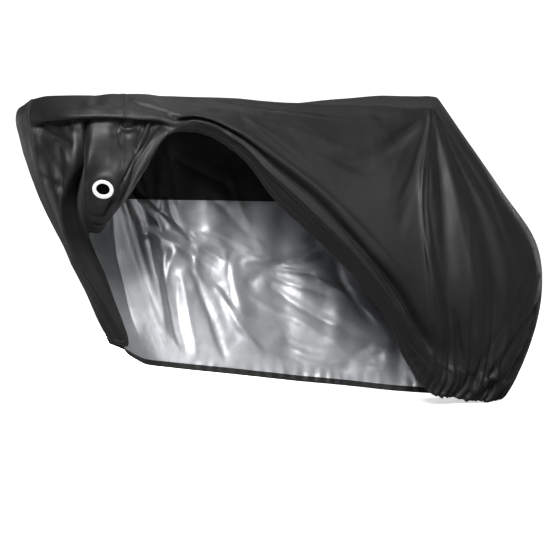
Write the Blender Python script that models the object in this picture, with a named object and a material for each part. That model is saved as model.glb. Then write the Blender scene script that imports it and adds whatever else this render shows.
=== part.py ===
"""Fitted two-wheeler cover with its near side drawn up, as thin draped panels.

The cloth is a grid of girth sections. A section runs from the near hem, up the
near side, across the top and down the far side to the far hem. The sections
follow each other from the nose (-X) to the rear seam (+X), where the two sides
meet. Sizes are in millimetres above the floor until build() moves the cover so
that the origin lies under its top, where it is held up.
"""

from typing import NamedTuple

import bmesh
import bpy
import numpy as np
from mathutils import Matrix

MM = 0.001
COLLECTION = "bicycle_cover"

# Where the cover is held: under the top cloth, over the rear support.
HELD_AT = (480, 0, 1132)

CLOTH_THICK = 1.5
SEAM_GAP = 0.5

# Eyelet for a lock, clamped through the hanging flap.
EYELET_SECTION = 6.0
EYELET_MARK = 5.25
EYELET_SPAN = (0.67, 0.25)
EYELET_FACE = (-0.30, -0.79, -0.54)
EYELET_OUTER = 70.0
EYELET_HOLE = 44.0
EYELET_BARREL = 50.0
EYELET_RISE = 3.2
EYELET_CLEAR = 0.35
CLOTH_HOLE = 51.5

# Rows of the mesh between two neighbouring marks of a section.
SIDE_STEPS = (3, 4, 4, 2, 4, 4, 4)
TOP_STEPS = 3
FRONT_STEPS = 3
BODY_STEPS = 3
SEAM_SECTION = 7


class Section(NamedTuple):
    """Marks down the near side of one girth section, each as (x, y, z)."""

    name: str
    ridge: tuple
    crease: tuple
    belly_1: tuple
    belly_2: tuple
    lip: tuple
    under: tuple
    flap_1: tuple
    flap_2: tuple
    hem: tuple


class FarSection(NamedTuple):
    """Middle and hem of the far side, at a place along the near sections."""

    at: float
    belly: tuple
    hem: tuple


class Fold(NamedTuple):
    """A soft ridge (+) or trough (-) through (section, mark) points."""

    name: str
    path: tuple
    width: float
    depth: float


NEAR = (
    Section("nose_seam", (-895, 100, 1105), (-900, -100, 1080), (-905, -105, 1060),
            (-910, -110, 1035), (-910, -110, 1010), (-905, -112, 980),
            (-880, -112, 870), (-795, -95, 645), (-585, -40, 255)),
    Section("front_1", (-830, 150, 1125), (-850, -150, 1100), (-855, -180, 1070),
            (-855, -200, 1035), (-850, -210, 1000), (-845, -185, 990),
            (-840, -198, 865), (-811, -165, 689), (-555, -55, 265)),
    Section("front_2", (-745, 190, 1135), (-795, -185, 1100), (-800, -225, 1065),
            (-805, -255, 1030), (-800, -265, 1000), (-795, -240, 990),
            (-795, -235, 880), (-809, -182, 725), (-585, -70, 345)),
    Section("valley_edge", (-675, 215, 1145), (-760, -205, 1100), (-760, -245, 1065),
            (-765, -275, 1030), (-765, -285, 1005), (-759, -262, 990),
            (-753, -228, 884), (-788, -168, 760), (-615, -80, 420)),
    Section("valley", (-630, 225, 1145), (-725, -215, 1100), (-735, -255, 1070),
            (-740, -285, 1035), (-740, -295, 1005), (-733, -236, 992),
            (-726, -155, 890), (-745, -100, 757), (-645, -74, 510)),
    Section("bulge_edge", (-595, 230, 1150), (-695, -222, 1100), (-705, -265, 1065),
            (-710, -295, 1035), (-710, -302, 1005), (-720, -275, 990),
            (-741, -288, 828), (-738, -224, 708), (-709, -148, 641)),
    Section("bulge", (-545, 235, 1150), (-660, -232, 1105), (-670, -275, 1070),
            (-670, -300, 1035), (-675, -310, 1005), (-675, -292, 990),
            (-695, -345, 824), (-693, -240, 672), (-683, -210, 646)),
    Section("side_seam", (-480, 240, 1155), (-615, -247, 1105), (-620, -285, 1070),
            (-625, -315, 1035), (-620, -322, 1005), (-620, -300, 991),
            (-630, -348, 840), (-647, -306, 742), (-659, -286, 694)),
    Section("flap_a", (-390, 243, 1155), (-540, -260, 1105), (-550, -297, 1070),
            (-555, -323, 1035), (-560, -330, 1005), (-556, -310, 991),
            (-576, -340, 906), (-600, -335, 820), (-614, -320, 755)),
    Section("flap_b", (-330, 244, 1150), (-490, -266, 1100), (-500, -303, 1065),
            (-505, -328, 1035), (-510, -335, 1005), (-509, -318, 992),
            (-522, -336, 951), (-541, -340, 897), (-563, -332, 842)),
    Section("flap_end", (-280, 245, 1150), (-450, -270, 1100), (-455, -307, 1065),
            (-460, -333, 1032), (-462, -340, 1003), (-463, -334, 989),
            (-470, -334, 979), (-481, -334, 969), (-494, -330, 959)),
    Section("hem_1", (-200, 245, 1155), (-390, -270, 1100), (-390, -307, 1065),
            (-390, -333, 1038), (-391, -342, 1012), (-390, -340, 1003),
            (-392, -337, 994), (-396, -332, 987), (-402, -326, 981)),
    Section("hem_2", (-70, 244, 1155), (-265, -266, 1100), (-260, -312, 1050),
            (-250, -338, 1000), (-235, -347, 955), (-231, -345, 943),
            (-231, -343, 932), (-235, -340, 921), (-240, -335, 910)),
    Section("hem_3", (60, 242, 1155), (-130, -260, 1095), (-125, -312, 1005),
            (-105, -337, 910), (-75, -347, 805), (-78, -345, 790),
            (-85, -342, 777), (-95, -337, 765), (-105, -330, 755)),
    Section("hem_4", (170, 240, 1155), (5, -250, 1095), (25, -307, 960),
            (50, -335, 820), (87, -342, 665), (85, -341, 650),
            (78, -338, 638), (67, -332, 628), (55, -325, 620)),
    Section("hem_5", (345, 225, 1177), (170, -225, 1100), (190, -295, 900),
            (215, -325, 700), (252, -315, 505), (249, -313, 493),
            (241, -309, 483), (231, -302, 475), (220, -295, 470)),
    Section("hem_6", (490, 205, 1190), (325, -200, 1105), (335, -290, 860),
            (360, -315, 610), (390, -275, 365), (386, -272, 348),
            (379, -266, 334), (368, -258, 323), (355, -250, 315)),
    Section("hem_7", (585, 190, 1193), (440, -175, 1105), (430, -285, 820),
            (440, -305, 545), (465, -235, 260), (460, -232, 240),
            (450, -226, 225), (438, -218, 210), (425, -210, 195)),
    Section("gather_1", (650, 175, 1193), (525, -155, 1110), (500, -285, 800),
            (510, -300, 490), (570, -195, 175), (570, -188, 145),
            (565, -180, 115), (555, -170, 90), (545, -160, 65)),
    Section("gather_2", (668, 172, 1194), (565, -140, 1110), (580, -270, 795),
            (605, -295, 475), (660, -185, 155), (660, -173, 125),
            (655, -160, 95), (640, -147, 70), (625, -135, 50)),
    Section("gather_3", (680, 166, 1194), (595, -100, 1125), (665, -240, 800),
            (715, -280, 465), (750, -170, 140), (745, -157, 110),
            (735, -143, 80), (720, -130, 55), (705, -120, 35)),
    Section("rear_1", (690, 158, 1192), (625, -50, 1142), (757, -195, 805),
            (840, -235, 450), (825, -145, 120), (820, -130, 90),
            (815, -115, 65), (800, -103, 40), (785, -95, 25)),
    Section("rear_2", (698, 148, 1190), (660, 25, 1165), (838, -120, 815),
            (962, -150, 560), (905, -95, 110), (890, -85, 75),
            (880, -75, 55), (870, -65, 35), (850, -55, 20)),
    Section("rear_seam", (704, 136, 1186), (704, 136, 1186), (914, -25, 820),
            (1047, -40, 612), (960, -30, 115), (945, -25, 80),
            (930, -20, 50), (915, -10, 30), (895, 0, 20)),
)

# The front strip between the nose seam and the far side: middle, then far edge.
STRIP_MIDDLE = ((-915, 0, 1092), (-928, 0, 1068), (-932, 0, 1040), (-931, 0, 1016),
                (-925, 0, 985), (-898, 0, 879), (-800, 0, 660), (-607, 0, 262))
STRIP_FAR = ((-895, 100, 1105), (-903, 100, 1079), (-907, 100, 1051), (-906, 100, 1027),
             (-902, 100, 995), (-874, 100, 887), (-773, 90, 655), (-539, 60, 232))

FAR = (
    FarSection(1, (-722, 128, 620), (-520, 78, 216)),
    FarSection(2, (-668, 168, 600), (-495, 108, 202)),
    FarSection(4, (-580, 238, 575), (-440, 182, 174)),
    FarSection(7, (-455, 278, 555), (-350, 226, 156)),
    FarSection(10, (-270, 293, 545), (-220, 241, 138)),
    FarSection(12, (-70, 300, 540), (-60, 250, 118)),
    FarSection(14, (165, 302, 535), (160, 252, 90)),
    FarSection(16, (440, 300, 525), (410, 241, 62)),
    FarSection(17, (550, 297, 515), (520, 229, 48)),
    FarSection(18, (660, 290, 505), (620, 213, 38)),
    FarSection(19, (765, 274, 490), (700, 195, 32)),
    FarSection(20, (865, 246, 480), (770, 166, 28)),
    FarSection(21, (955, 190, 475), (830, 126, 25)),
    FarSection(22, (1020, 95, 470), (875, 70, 22)),
)

# Folds that run down the cloth. A mark is 0 at the crease and 7 at the hem.
DOWN_FOLDS = (
    Fold("sharp crease", ((18.7, 0.1), (18.0, 0.6), (17.67, 1.2), (17.67, 2.4), (17.95, 3.2)), 0.34, 11),
    Fold("beside the crease", ((18.9, 0.1), (18.45, 0.8), (18.25, 1.5), (18.3, 2.5), (18.5, 3.2)), 0.42, -20),
    Fold("second ridge", ((19.0, 0.1), (18.8, 1.0), (19.0, 2.0), (19.1, 2.9)), 0.45, 14),
    Fold("rear hollow", ((19.3, 0.15), (19.7, 1.0), (19.8, 2.0), (19.7, 3.0)), 0.5, -10),
    Fold("rear ridge", ((19.8, 0.15), (20.4, 0.9), (20.7, 1.7), (20.4, 2.9)), 0.5, 8),
    Fold("rear trough", ((20.6, 0.2), (21.3, 1.0), (21.6, 2.0), (21.0, 3.1)), 0.5, -8),
    Fold("left ridge", ((18.4, 0.1), (16.9, 0.6), (16.2, 0.95), (15.6, 1.6)), 0.42, 9),
    Fold("left crease", ((18.6, 0.1), (17.2, 0.8), (16.8, 1.1), (16.0, 1.8)), 0.3, -8),
    Fold("shoulder trough", ((18.2, 0.08), (16.8, 0.35), (15.7, 0.72), (14.8, 1.2)), 0.55, -14),
    Fold("low trough", ((22.4, 2.2), (22.0, 2.8), (21.2, 3.6), (20.6, 5.5)), 0.4, -12),
    Fold("low ridge", ((21.6, 2.0), (21.0, 2.8), (20.3, 3.8), (19.9, 5.5)), 0.4, 9),
    Fold("flap trough", ((9.3, 3.5), (8.8, 4.4), (8.1, 5.2), (7.6, 6.1), (7.3, 6.8)), 0.55, -11),
    Fold("flap pleat 1", ((7.9, 3.25), (7.9, 3.8), (7.7, 4.6)), 0.5, -9),
    Fold("flap pleat 2", ((6.6, 3.2), (6.6, 3.7), (6.5, 4.3)), 0.5, -6),
    Fold("front hollow", ((1.2, 3.4), (1.5, 4.6), (1.6, 5.6)), 0.5, -10),
    Fold("front ridge", ((2.3, 3.4), (2.4, 4.5), (2.5, 5.4)), 0.5, 8),
    Fold("gather 1", ((18.3, 3.0), (18.0, 5.0), (18.0, 7.0)), 0.3, -7),
    Fold("gather 2", ((18.9, 3.0), (18.7, 5.0), (18.7, 7.0)), 0.3, 6),
    Fold("gather 3", ((19.5, 3.0), (19.3, 5.0), (19.3, 7.0)), 0.3, -8),
    Fold("gather 4", ((20.0, 3.0), (20.0, 5.0), (20.0, 7.0)), 0.3, 6),
    Fold("gather 5", ((20.8, 3.0), (20.7, 5.0), (20.7, 7.0)), 0.3, -7),
    Fold("gather 6", ((21.5, 3.0), (21.3, 5.0), (21.3, 7.0)), 0.3, 6),
    Fold("gather 7", ((22.2, 3.0), (22.0, 5.0), (22.0, 7.0)), 0.3, -6),
)

# Folds that run along the cloth, with their width counted in marks.
ALONG_FOLDS = (
    Fold("top trough", ((11.5, 0.30), (13.0, 0.22), (14.5, 0.20), (16.5, 0.16)), 0.14, -12),
    Fold("front draw", ((7.4, 1.0), (9.0, 1.75), (10.4, 2.5), (12.2, 2.6), (13.0, 2.4), (13.8, 2.45),
                        (15.0, 2.72), (16.0, 2.84), (17.2, 2.86), (18.2, 2.9)), 0.22, -13),
    Fold("hem roll", ((11.0, 3.6), (14.0, 4.2), (17.0, 4.4), (18.5, 4.6)), 1.0, 4),
)

# Soft folds of the far side, seen from within. A mark is 0 at the ridge.
FAR_FOLDS = (
    Fold("far 1", ((5.0, 3.0), (6.5, 4.5), (8.0, 6.6)), 0.7, -14),
    Fold("far 2", ((9.0, 1.5), (8.6, 4.0), (9.4, 6.6)), 0.7, 12),
    Fold("far 3", ((11.5, 1.5), (11.2, 3.5), (12.4, 6.6)), 0.7, -14),
    Fold("far 4", ((14.0, 1.2), (13.6, 3.5), (13.8, 6.6)), 0.7, 12),
    Fold("far 5", ((17.4, 0.6), (16.0, 3.0), (15.2, 6.6)), 0.7, -14),
    Fold("far 6", ((18.4, 0.6), (18.0, 3.0), (17.6, 6.6)), 0.5, 12),
    Fold("far 7", ((19.6, 0.6), (19.8, 3.0), (19.4, 6.6)), 0.5, -12),
    Fold("far 8", ((20.8, 0.8), (21.2, 3.0), (20.6, 6.6)), 0.5, 10),
)


def chord_knots(points):
    """Return knots that grow with the distance between successive points."""
    steps = np.linalg.norm(np.diff(points, axis=0), axis=1)
    return np.concatenate([[0.0], np.cumsum(np.maximum(steps, 1e-6))])


def spline(points, knots, at):
    """Return a smooth curve through the points, read at the given knots."""
    points = np.asarray(points, float)
    slopes = np.diff(points, axis=0) / np.diff(knots)[:, None]
    gaps = np.diff(knots)
    tangents = np.empty_like(points)
    tangents[0], tangents[-1] = slopes[0], slopes[-1]
    before, after = gaps[:-1, None], gaps[1:, None]
    tangents[1:-1] = (slopes[:-1] * after + slopes[1:] * before) / (before + after)
    index = np.clip(np.searchsorted(knots, at, side="right") - 1, 0, len(gaps) - 1)
    gap = gaps[index][:, None]
    t = ((at - knots[index]) / gaps[index])[:, None]
    start, end = points[index], points[index + 1]
    return (
        (2 * t**3 - 3 * t**2 + 1) * start
        + (t**3 - 2 * t**2 + t) * gap * tangents[index]
        + (3 * t**2 - 2 * t**3) * end
        + (t**3 - t**2) * gap * tangents[index + 1]
    )


def along_sections(rows, knots, at):
    """Return the marks of each wanted section, as (sections, marks, 3)."""
    place = np.interp(at, np.arange(len(knots)), knots)
    return np.stack([spline(rows[:, k], knots, place) for k in range(rows.shape[1])], axis=1)


def down_marks(marks, steps):
    """Return one section's rows, with the given steps between its marks."""
    knots = chord_knots(marks)
    at = [knots[0]]
    for k, count in enumerate(steps):
        at.extend(np.linspace(knots[k], knots[k + 1], count + 1)[1:])
    return spline(marks, knots, np.array(at))


def mark_numbers(steps):
    """Return the mark number of each row that down_marks makes."""
    rows = [0.0]
    for k, count in enumerate(steps):
        rows.extend(np.linspace(k, k + 1, count + 1)[1:])
    return np.array(rows)


def near_marks():
    """Return the near side's marks from the crease to the hem."""
    return np.array([row[2:] for row in NEAR], float)


def far_marks():
    """Return the far side's marks from the ridge to the hem, one set a section."""
    near = near_marks()
    first, last = np.array(STRIP_FAR, float), near[-1]
    ends = [chord_knots(first) / chord_knots(first)[-1], chord_knots(last) / chord_knots(last)[-1]]
    places = np.array([row.at for row in FAR], float)
    shape = np.array([[row.belly, row.hem] for row in FAR], float)
    number = len(NEAR)
    marks = np.empty((number, near.shape[1], 3))
    marks[0], marks[-1] = first, last
    for s in range(1, number - 1):
        belly, hem = spline(shape.reshape(len(FAR), -1), places, np.array([float(s)]))[0].reshape(2, 3)
        run = np.array([NEAR[s].ridge, belly, hem], float)
        share = s / (number - 1)
        at = (1 - share) * ends[0] + share * ends[1]
        knots = chord_knots(run)
        marks[s] = spline(run, knots, at * knots[-1])
    return marks


def top_middles():
    """Return the middle of the top cloth in each section, a little slack."""
    rows = []
    for number, row in enumerate(NEAR):
        middle = (np.array(row.ridge, float) + np.array(row.crease, float)) / 2
        middle[2] -= 6 if 0 < number < len(NEAR) - 1 else 0
        rows.append(middle)
    rows[0] = np.array(STRIP_MIDDLE[0], float)
    return np.array(rows)


def fold_offsets(folds, sections, marks, along=False):
    """Return how far each point of the grid is pushed out by the folds."""
    section, mark = np.meshgrid(sections, marks, indexing="ij")
    run, across = (section, mark) if along else (mark, section)
    total = np.zeros_like(section)
    for fold in folds:
        path = np.array(fold.path, float)
        path = path if along else path[:, ::-1]
        line = np.interp(run, path[:, 0], path[:, 1])
        length = path[-1, 0] - path[0, 0]
        ease = 0.16 * length
        fade = np.clip((run - path[0, 0]) / ease, 0, 1) * np.clip((path[-1, 0] - run) / ease + 0.35, 0, 1)
        fade = np.where(run > path[-1, 0] + 0.35 * ease, 0, fade)
        total += fold.depth * fade * np.exp(-(((across - line) / fold.width) ** 2) * 2.2)
    return total


def push_out(grid, offsets):
    """Return the grid with each point moved along the cloth's outward side."""
    across = np.gradient(grid, axis=0)
    down = np.gradient(grid, axis=1)
    normal = np.cross(down, across)
    size = np.linalg.norm(normal, axis=2, keepdims=True)
    normal = np.divide(normal, size, out=np.zeros_like(normal), where=size > 1e-9)
    return grid + normal * offsets[:, :, None]


def cloth_grid(sections):
    """Return the cloth's points from near hem to far hem for these sections."""
    near_all, far_all, middles = near_marks(), far_marks(), top_middles()
    ridges = far_all[:, 0]
    knots = np.concatenate([[0.0], np.cumsum(
        np.linalg.norm(np.diff(near_all, axis=0), axis=2).mean(axis=1))])
    near = along_sections(near_all, knots, sections)
    far = along_sections(far_all, knots, sections)
    top = along_sections(np.stack([near_all[:, 0], middles, ridges], axis=1), knots, sections)
    rows = mark_numbers(SIDE_STEPS)
    near_side = np.array([down_marks(m, SIDE_STEPS) for m in near])
    far_side = np.array([down_marks(m, SIDE_STEPS) for m in far])
    pushed = fold_offsets(DOWN_FOLDS, sections, rows) + fold_offsets(ALONG_FOLDS, sections, rows, True)
    still = np.clip((len(NEAR) - 1 - sections) / 0.8, 0, 1) * np.clip(sections / 0.8, 0, 1)
    near_side = push_out(near_side, pushed * still[:, None])
    far_side = push_out(far_side, -fold_offsets(FAR_FOLDS, sections, rows) * still[:, None])
    share = np.linspace(0, 2, TOP_STEPS + 1)
    top_rows = np.array([spline(m, np.array([0.0, 1.0, 2.0]), share) for m in top])
    return np.concatenate([near_side[:, ::-1], top_rows[:, 1:], far_side[:, 1:]], axis=1)


def eyelet_frame(grid, sections):
    """Return the eyelet's centre, face and side, and the flat patch round it."""
    rows = mark_numbers(SIDE_STEPS)[::-1]
    wide, tall = EYELET_SPAN
    columns = np.flatnonzero(np.abs(sections - EYELET_SECTION) < wide + 0.01)
    lines = np.flatnonzero(np.abs(rows - EYELET_MARK) < tall + 0.01)
    patch = grid[columns[0]:columns[-1] + 1, lines[0]:lines[-1] + 1]
    centre = patch[len(columns) // 2, len(lines) // 2]
    face = np.array(EYELET_FACE) / np.linalg.norm(EYELET_FACE)
    side = patch[-1].mean(axis=0) - patch[0].mean(axis=0)
    side -= (side @ face) * face
    return centre, face, side / np.linalg.norm(side), (columns, lines)


def flattened(grid, sections):
    """Return the grid with the cloth made flat round the eyelet."""
    centre, face, _, (columns, lines) = eyelet_frame(grid, sections)
    grid = grid.copy()
    place = np.ix_(columns, lines)
    grid[place] -= ((grid[place] - centre) @ face)[..., None] * face
    return grid


def pull_back(grid, axis, end):
    """Return the grid with one edge drawn in by half the gap of a seam."""
    edge, inner = (0, 1) if end == 0 else (-1, -2)
    lines = np.moveaxis(grid.copy(), axis, 0)
    way = lines[inner] - lines[edge]
    length = np.linalg.norm(way, axis=-1, keepdims=True)
    lines[edge] += way / np.maximum(length, 1e-9) * np.minimum(SEAM_GAP / 2, length * 0.3)
    return np.moveaxis(lines, 0, axis)


def cloth_material(name, colour, roughness, metallic=0.0):
    """Return a plain material for one piece."""
    material = bpy.data.materials.new(name)
    material.use_nodes = True
    shader = material.node_tree.nodes["Principled BSDF"]
    shader.inputs["Base Color"].default_value = (*colour, 1.0)
    shader.inputs["Roughness"].default_value = roughness
    shader.inputs["Metallic"].default_value = metallic
    material.diffuse_color = (*colour, 1.0)
    return material


def link(name, mesh, material, collection):
    """Return a new object that holds the mesh."""
    thing = bpy.data.objects.new(name, mesh)
    mesh.materials.append(material)
    collection.objects.link(thing)
    return thing


def outward(grid, closed=False):
    """Return the outward direction of the cloth at every point of the grid."""
    cross = np.cross(grid[1:, 1:] - grid[:-1, :-1], grid[:-1, 1:] - grid[1:, :-1])
    cross /= np.maximum(np.linalg.norm(cross, axis=2, keepdims=True), 1e-9)
    total = np.zeros_like(grid)
    for part in (np.s_[:-1, :-1], np.s_[1:, :-1], np.s_[:-1, 1:], np.s_[1:, 1:]):
        total[part] += cross
    if closed:
        total[-1] += total[-1][::-1].copy()
        top = slice(sum(SIDE_STEPS), sum(SIDE_STEPS) + TOP_STEPS + 1)
        total[-1, top] = total[-1, top].sum(axis=0)
    return total / np.maximum(np.linalg.norm(total, axis=2, keepdims=True), 1e-9)


def sheet(name, grid, facing, material, collection, weld=False):
    """Return one cloth panel: the grid as a surface, extruded outwards."""
    shape = bmesh.new()
    layer = shape.verts.layers.float_vector.new("facing")
    points = (grid - np.array(HELD_AT, float)) * MM
    verts = [[shape.verts.new(p) for p in line] for line in points]
    for line, ways in zip(verts, facing):
        for vert, way in zip(line, ways):
            vert[layer] = way * CLOTH_THICK * MM
    for i in range(len(verts) - 1):
        for j in range(len(verts[0]) - 1):
            shape.faces.new((verts[i][j], verts[i][j + 1], verts[i + 1][j + 1], verts[i + 1][j]))
    if weld:
        bmesh.ops.remove_doubles(shape, verts=verts[-1], dist=1e-5)
    bmesh.ops.triangulate(shape, faces=shape.faces[:], quad_method="SHORT_EDGE")
    grown = bmesh.ops.extrude_face_region(shape, geom=shape.faces[:])
    for item in grown["geom"]:
        if isinstance(item, bmesh.types.BMVert):
            item.co += item[layer]
    bmesh.ops.recalc_face_normals(shape, faces=shape.faces[:])
    for face in shape.faces:
        face.smooth = True
    mesh = bpy.data.meshes.new(name)
    shape.to_mesh(mesh)
    shape.free()
    return link(name, mesh, material, collection)


def matrix_rows(centre, face, side):
    """Return the axes of the eyelet as a world matrix."""
    third = np.cross(face, side)
    place = (centre - np.array(HELD_AT, float)) * MM
    turn = np.array([side, third, face]).T
    return Matrix([[*turn[i], place[i]] for i in range(3)] + [[0, 0, 0, 1]])


def ring(name, material, collection, world):
    """Return the eyelet: two rounded flanges on a barrel through the cloth."""
    inner, outer, barrel = EYELET_HOLE / 2, EYELET_OUTER / 2, EYELET_BARREL / 2
    low, high = -EYELET_CLEAR, CLOTH_THICK + EYELET_CLEAR
    rise = EYELET_RISE
    profile = (
        (inner, low - rise * 0.5), (inner + 2.2, low - rise * 0.9), (outer - 6, low - rise),
        (outer - 1, low - rise * 0.55), (outer - 0.6, low), (barrel, low),
        (barrel, high), (outer, high), (outer, high + rise * 0.4), (outer - 2, high + rise * 0.85),
        (outer - 5, high + rise), (inner + 4, high + rise), (inner + 1.2, high + rise * 0.7),
        (inner, high + rise * 0.2),
    )
    shape = bmesh.new()
    verts = [shape.verts.new((x * MM, 0, z * MM)) for x, z in profile]
    edges = [shape.edges.new((verts[i], verts[(i + 1) % len(verts)])) for i in range(len(verts))]
    bmesh.ops.spin(shape, geom=verts + edges, cent=(0, 0, 0), axis=(0, 0, 1),
                   angle=2 * np.pi, steps=40, use_merge=True, use_duplicate=False)
    bmesh.ops.recalc_face_normals(shape, faces=shape.faces[:])
    for item in shape.faces:
        item.smooth = True
    mesh = bpy.data.meshes.new(name)
    shape.to_mesh(mesh)
    shape.free()
    eyelet = link(name, mesh, material, collection)
    eyelet.matrix_world = world
    return eyelet


def cut_hole(panel, world, collection):
    """Cut the round hole that the eyelet's barrel passes through."""
    bpy.ops.mesh.primitive_cylinder_add(vertices=32, radius=CLOTH_HOLE / 2 * MM, depth=30 * MM)
    cutter = bpy.context.active_object
    cutter.name = "eyelet_cutter"
    cutter.matrix_world = world
    for owner in list(cutter.users_collection):
        owner.objects.unlink(cutter)
    collection.objects.link(cutter)
    cutter.hide_render = True
    cutter.display_type = "WIRE"
    cut = panel.modifiers.new("eyelet_hole", "BOOLEAN")
    cut.operation = "DIFFERENCE"
    cut.solver = "EXACT"
    cut.object = cutter


def build():
    """Make every panel and the eyelet in one collection."""
    for thing in list(bpy.data.objects):
        bpy.data.objects.remove(thing, do_unlink=True)
    collection = bpy.data.collections.new(COLLECTION)
    bpy.context.scene.collection.children.link(collection)
    black = cloth_material("black_cloth", (0.030, 0.030, 0.032), 0.62)
    metal = cloth_material("eyelet_metal", (0.82, 0.83, 0.84), 0.3, 0.9)

    front_count = SEAM_SECTION * FRONT_STEPS
    body_count = (len(NEAR) - 1 - SEAM_SECTION) * BODY_STEPS
    sections = np.concatenate([
        np.linspace(0, SEAM_SECTION, front_count + 1),
        np.linspace(SEAM_SECTION, len(NEAR) - 1, body_count + 1)[1:],
    ])
    whole = flattened(cloth_grid(sections), sections)
    facing = outward(whole, closed=True)
    front_grid, body_grid = whole[:front_count + 1], whole[front_count:]
    side_rows = sum(SIDE_STEPS) + 1
    near_edge = front_grid[0, :side_rows][::-1]
    top_edge = front_grid[0, side_rows - 1:side_rows + TOP_STEPS]
    far_edge = front_grid[0, side_rows + TOP_STEPS - 1:]
    middle = down_marks(np.array(STRIP_MIDDLE, float), SIDE_STEPS)
    share = np.linspace(0, 2, TOP_STEPS + 1)
    strip_grid = np.array([
        spline(np.array([far_edge[j], middle[j], near_edge[j]]), np.array([0.0, 1.0, 2.0]), share)
        for j in range(side_rows)
    ]).transpose(1, 0, 2)
    strip_grid[:, 0] = top_edge[::-1]
    strip_facing = outward(strip_grid)

    front_grid = pull_back(pull_back(front_grid, 0, 0), 0, 1)
    body_grid = pull_back(body_grid, 0, 0)
    strip_grid = pull_back(pull_back(pull_back(strip_grid, 0, 0), 0, 1), 1, 0)

    front_panel = sheet("front_panel", front_grid, facing[:front_count + 1], black, collection)
    sheet("body_panel", body_grid, facing[front_count:], black.copy(), collection, weld=True)
    sheet("front_strip", strip_grid, strip_facing, black.copy(), collection)
    centre, face, side, _ = eyelet_frame(whole, sections)
    world = matrix_rows(centre, face, side)
    cut_hole(front_panel, world, collection)
    ring("eyelet_ring", metal, collection, world)


build()
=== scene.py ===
"""Dressed scene of a fitted cloth cover with its near side drawn up.

The cloth is one fine grid of girth columns. A column runs from the near hem, up
the near side, across the top and down the far side to the far hem, and the
columns follow each other from the nose (-X) to the rear seam (+X), where the two
sides meet. Folds, creases and ruffles move that grid. It is then cut into the
front and body panels, gets its thickness and hems, a silver lining inside and a
black coated face outside. A narrow strip closes the nose, and a metal eyelet sits
in the hanging flap.

The tables place points by their section, counted from the nose, and their mark,
counted down one side. Lengths are millimetres, and heights start at the floor,
until a panel is made. Objects are in metres, from the point where the cover is
held.
"""

import logging
import math
from dataclasses import dataclass, field
from enum import Enum
from typing import Any, NamedTuple

import bmesh
import bpy
import numpy as np
from mathutils import Matrix, Vector, noise

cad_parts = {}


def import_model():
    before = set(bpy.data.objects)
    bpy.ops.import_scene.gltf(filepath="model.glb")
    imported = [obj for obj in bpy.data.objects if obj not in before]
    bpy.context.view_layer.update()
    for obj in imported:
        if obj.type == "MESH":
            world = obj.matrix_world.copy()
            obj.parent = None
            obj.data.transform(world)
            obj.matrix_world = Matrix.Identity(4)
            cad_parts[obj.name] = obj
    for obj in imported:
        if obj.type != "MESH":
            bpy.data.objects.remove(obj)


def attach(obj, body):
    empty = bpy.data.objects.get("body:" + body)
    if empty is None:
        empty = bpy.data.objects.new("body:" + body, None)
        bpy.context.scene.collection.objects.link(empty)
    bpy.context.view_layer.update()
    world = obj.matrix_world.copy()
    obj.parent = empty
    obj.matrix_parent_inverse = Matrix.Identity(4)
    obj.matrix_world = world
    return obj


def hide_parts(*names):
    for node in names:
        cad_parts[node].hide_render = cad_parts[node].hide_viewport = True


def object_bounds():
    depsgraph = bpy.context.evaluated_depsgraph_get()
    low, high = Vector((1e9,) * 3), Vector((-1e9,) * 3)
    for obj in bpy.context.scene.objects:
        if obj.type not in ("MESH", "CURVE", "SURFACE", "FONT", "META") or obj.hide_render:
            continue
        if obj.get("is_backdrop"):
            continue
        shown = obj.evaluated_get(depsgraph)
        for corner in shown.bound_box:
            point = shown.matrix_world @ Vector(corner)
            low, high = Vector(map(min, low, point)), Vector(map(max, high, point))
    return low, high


MM = 0.001
HELD_AT = np.array((480.0, 0.0, 1132.0))  # where the objects' origin lies in the tables
SEAM_SECTION = 7  # the front panel is sewn to the body panel here
REAR_SECTION = 17  # the columns lie closer from here to the rear seam
FAR_OFF = 900.0  # a distance that stands for nowhere near an edge
MERGE = 1e-5  # points this close are one, in metres
LOG = logging.getLogger("cover")


class Section(NamedTuple):
    """Marks down the near side of one girth section, each as (x, y, z)."""

    name: str
    ridge: tuple
    crease: tuple
    belly_1: tuple
    belly_2: tuple
    lip: tuple
    under: tuple
    flap_1: tuple
    flap_2: tuple
    hem: tuple


class FarSection(NamedTuple):
    """Middle and hem of the far side, at a place along the near sections."""

    at: float
    belly: tuple
    hem: tuple


class Fold(NamedTuple):
    """A soft ridge (+) or trough (-) through (section, mark) points.

    Its width is counted in sections, or in marks where it runs along the cover.
    """

    name: str
    path: tuple
    width: float
    depth: float


class Crease(NamedTuple):
    """A narrow ridge (+) or crease (-) on a line of (section, mark) points.

    Its width and depth are in millimetres.
    """

    name: str
    path: tuple
    width: float
    depth: float


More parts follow.
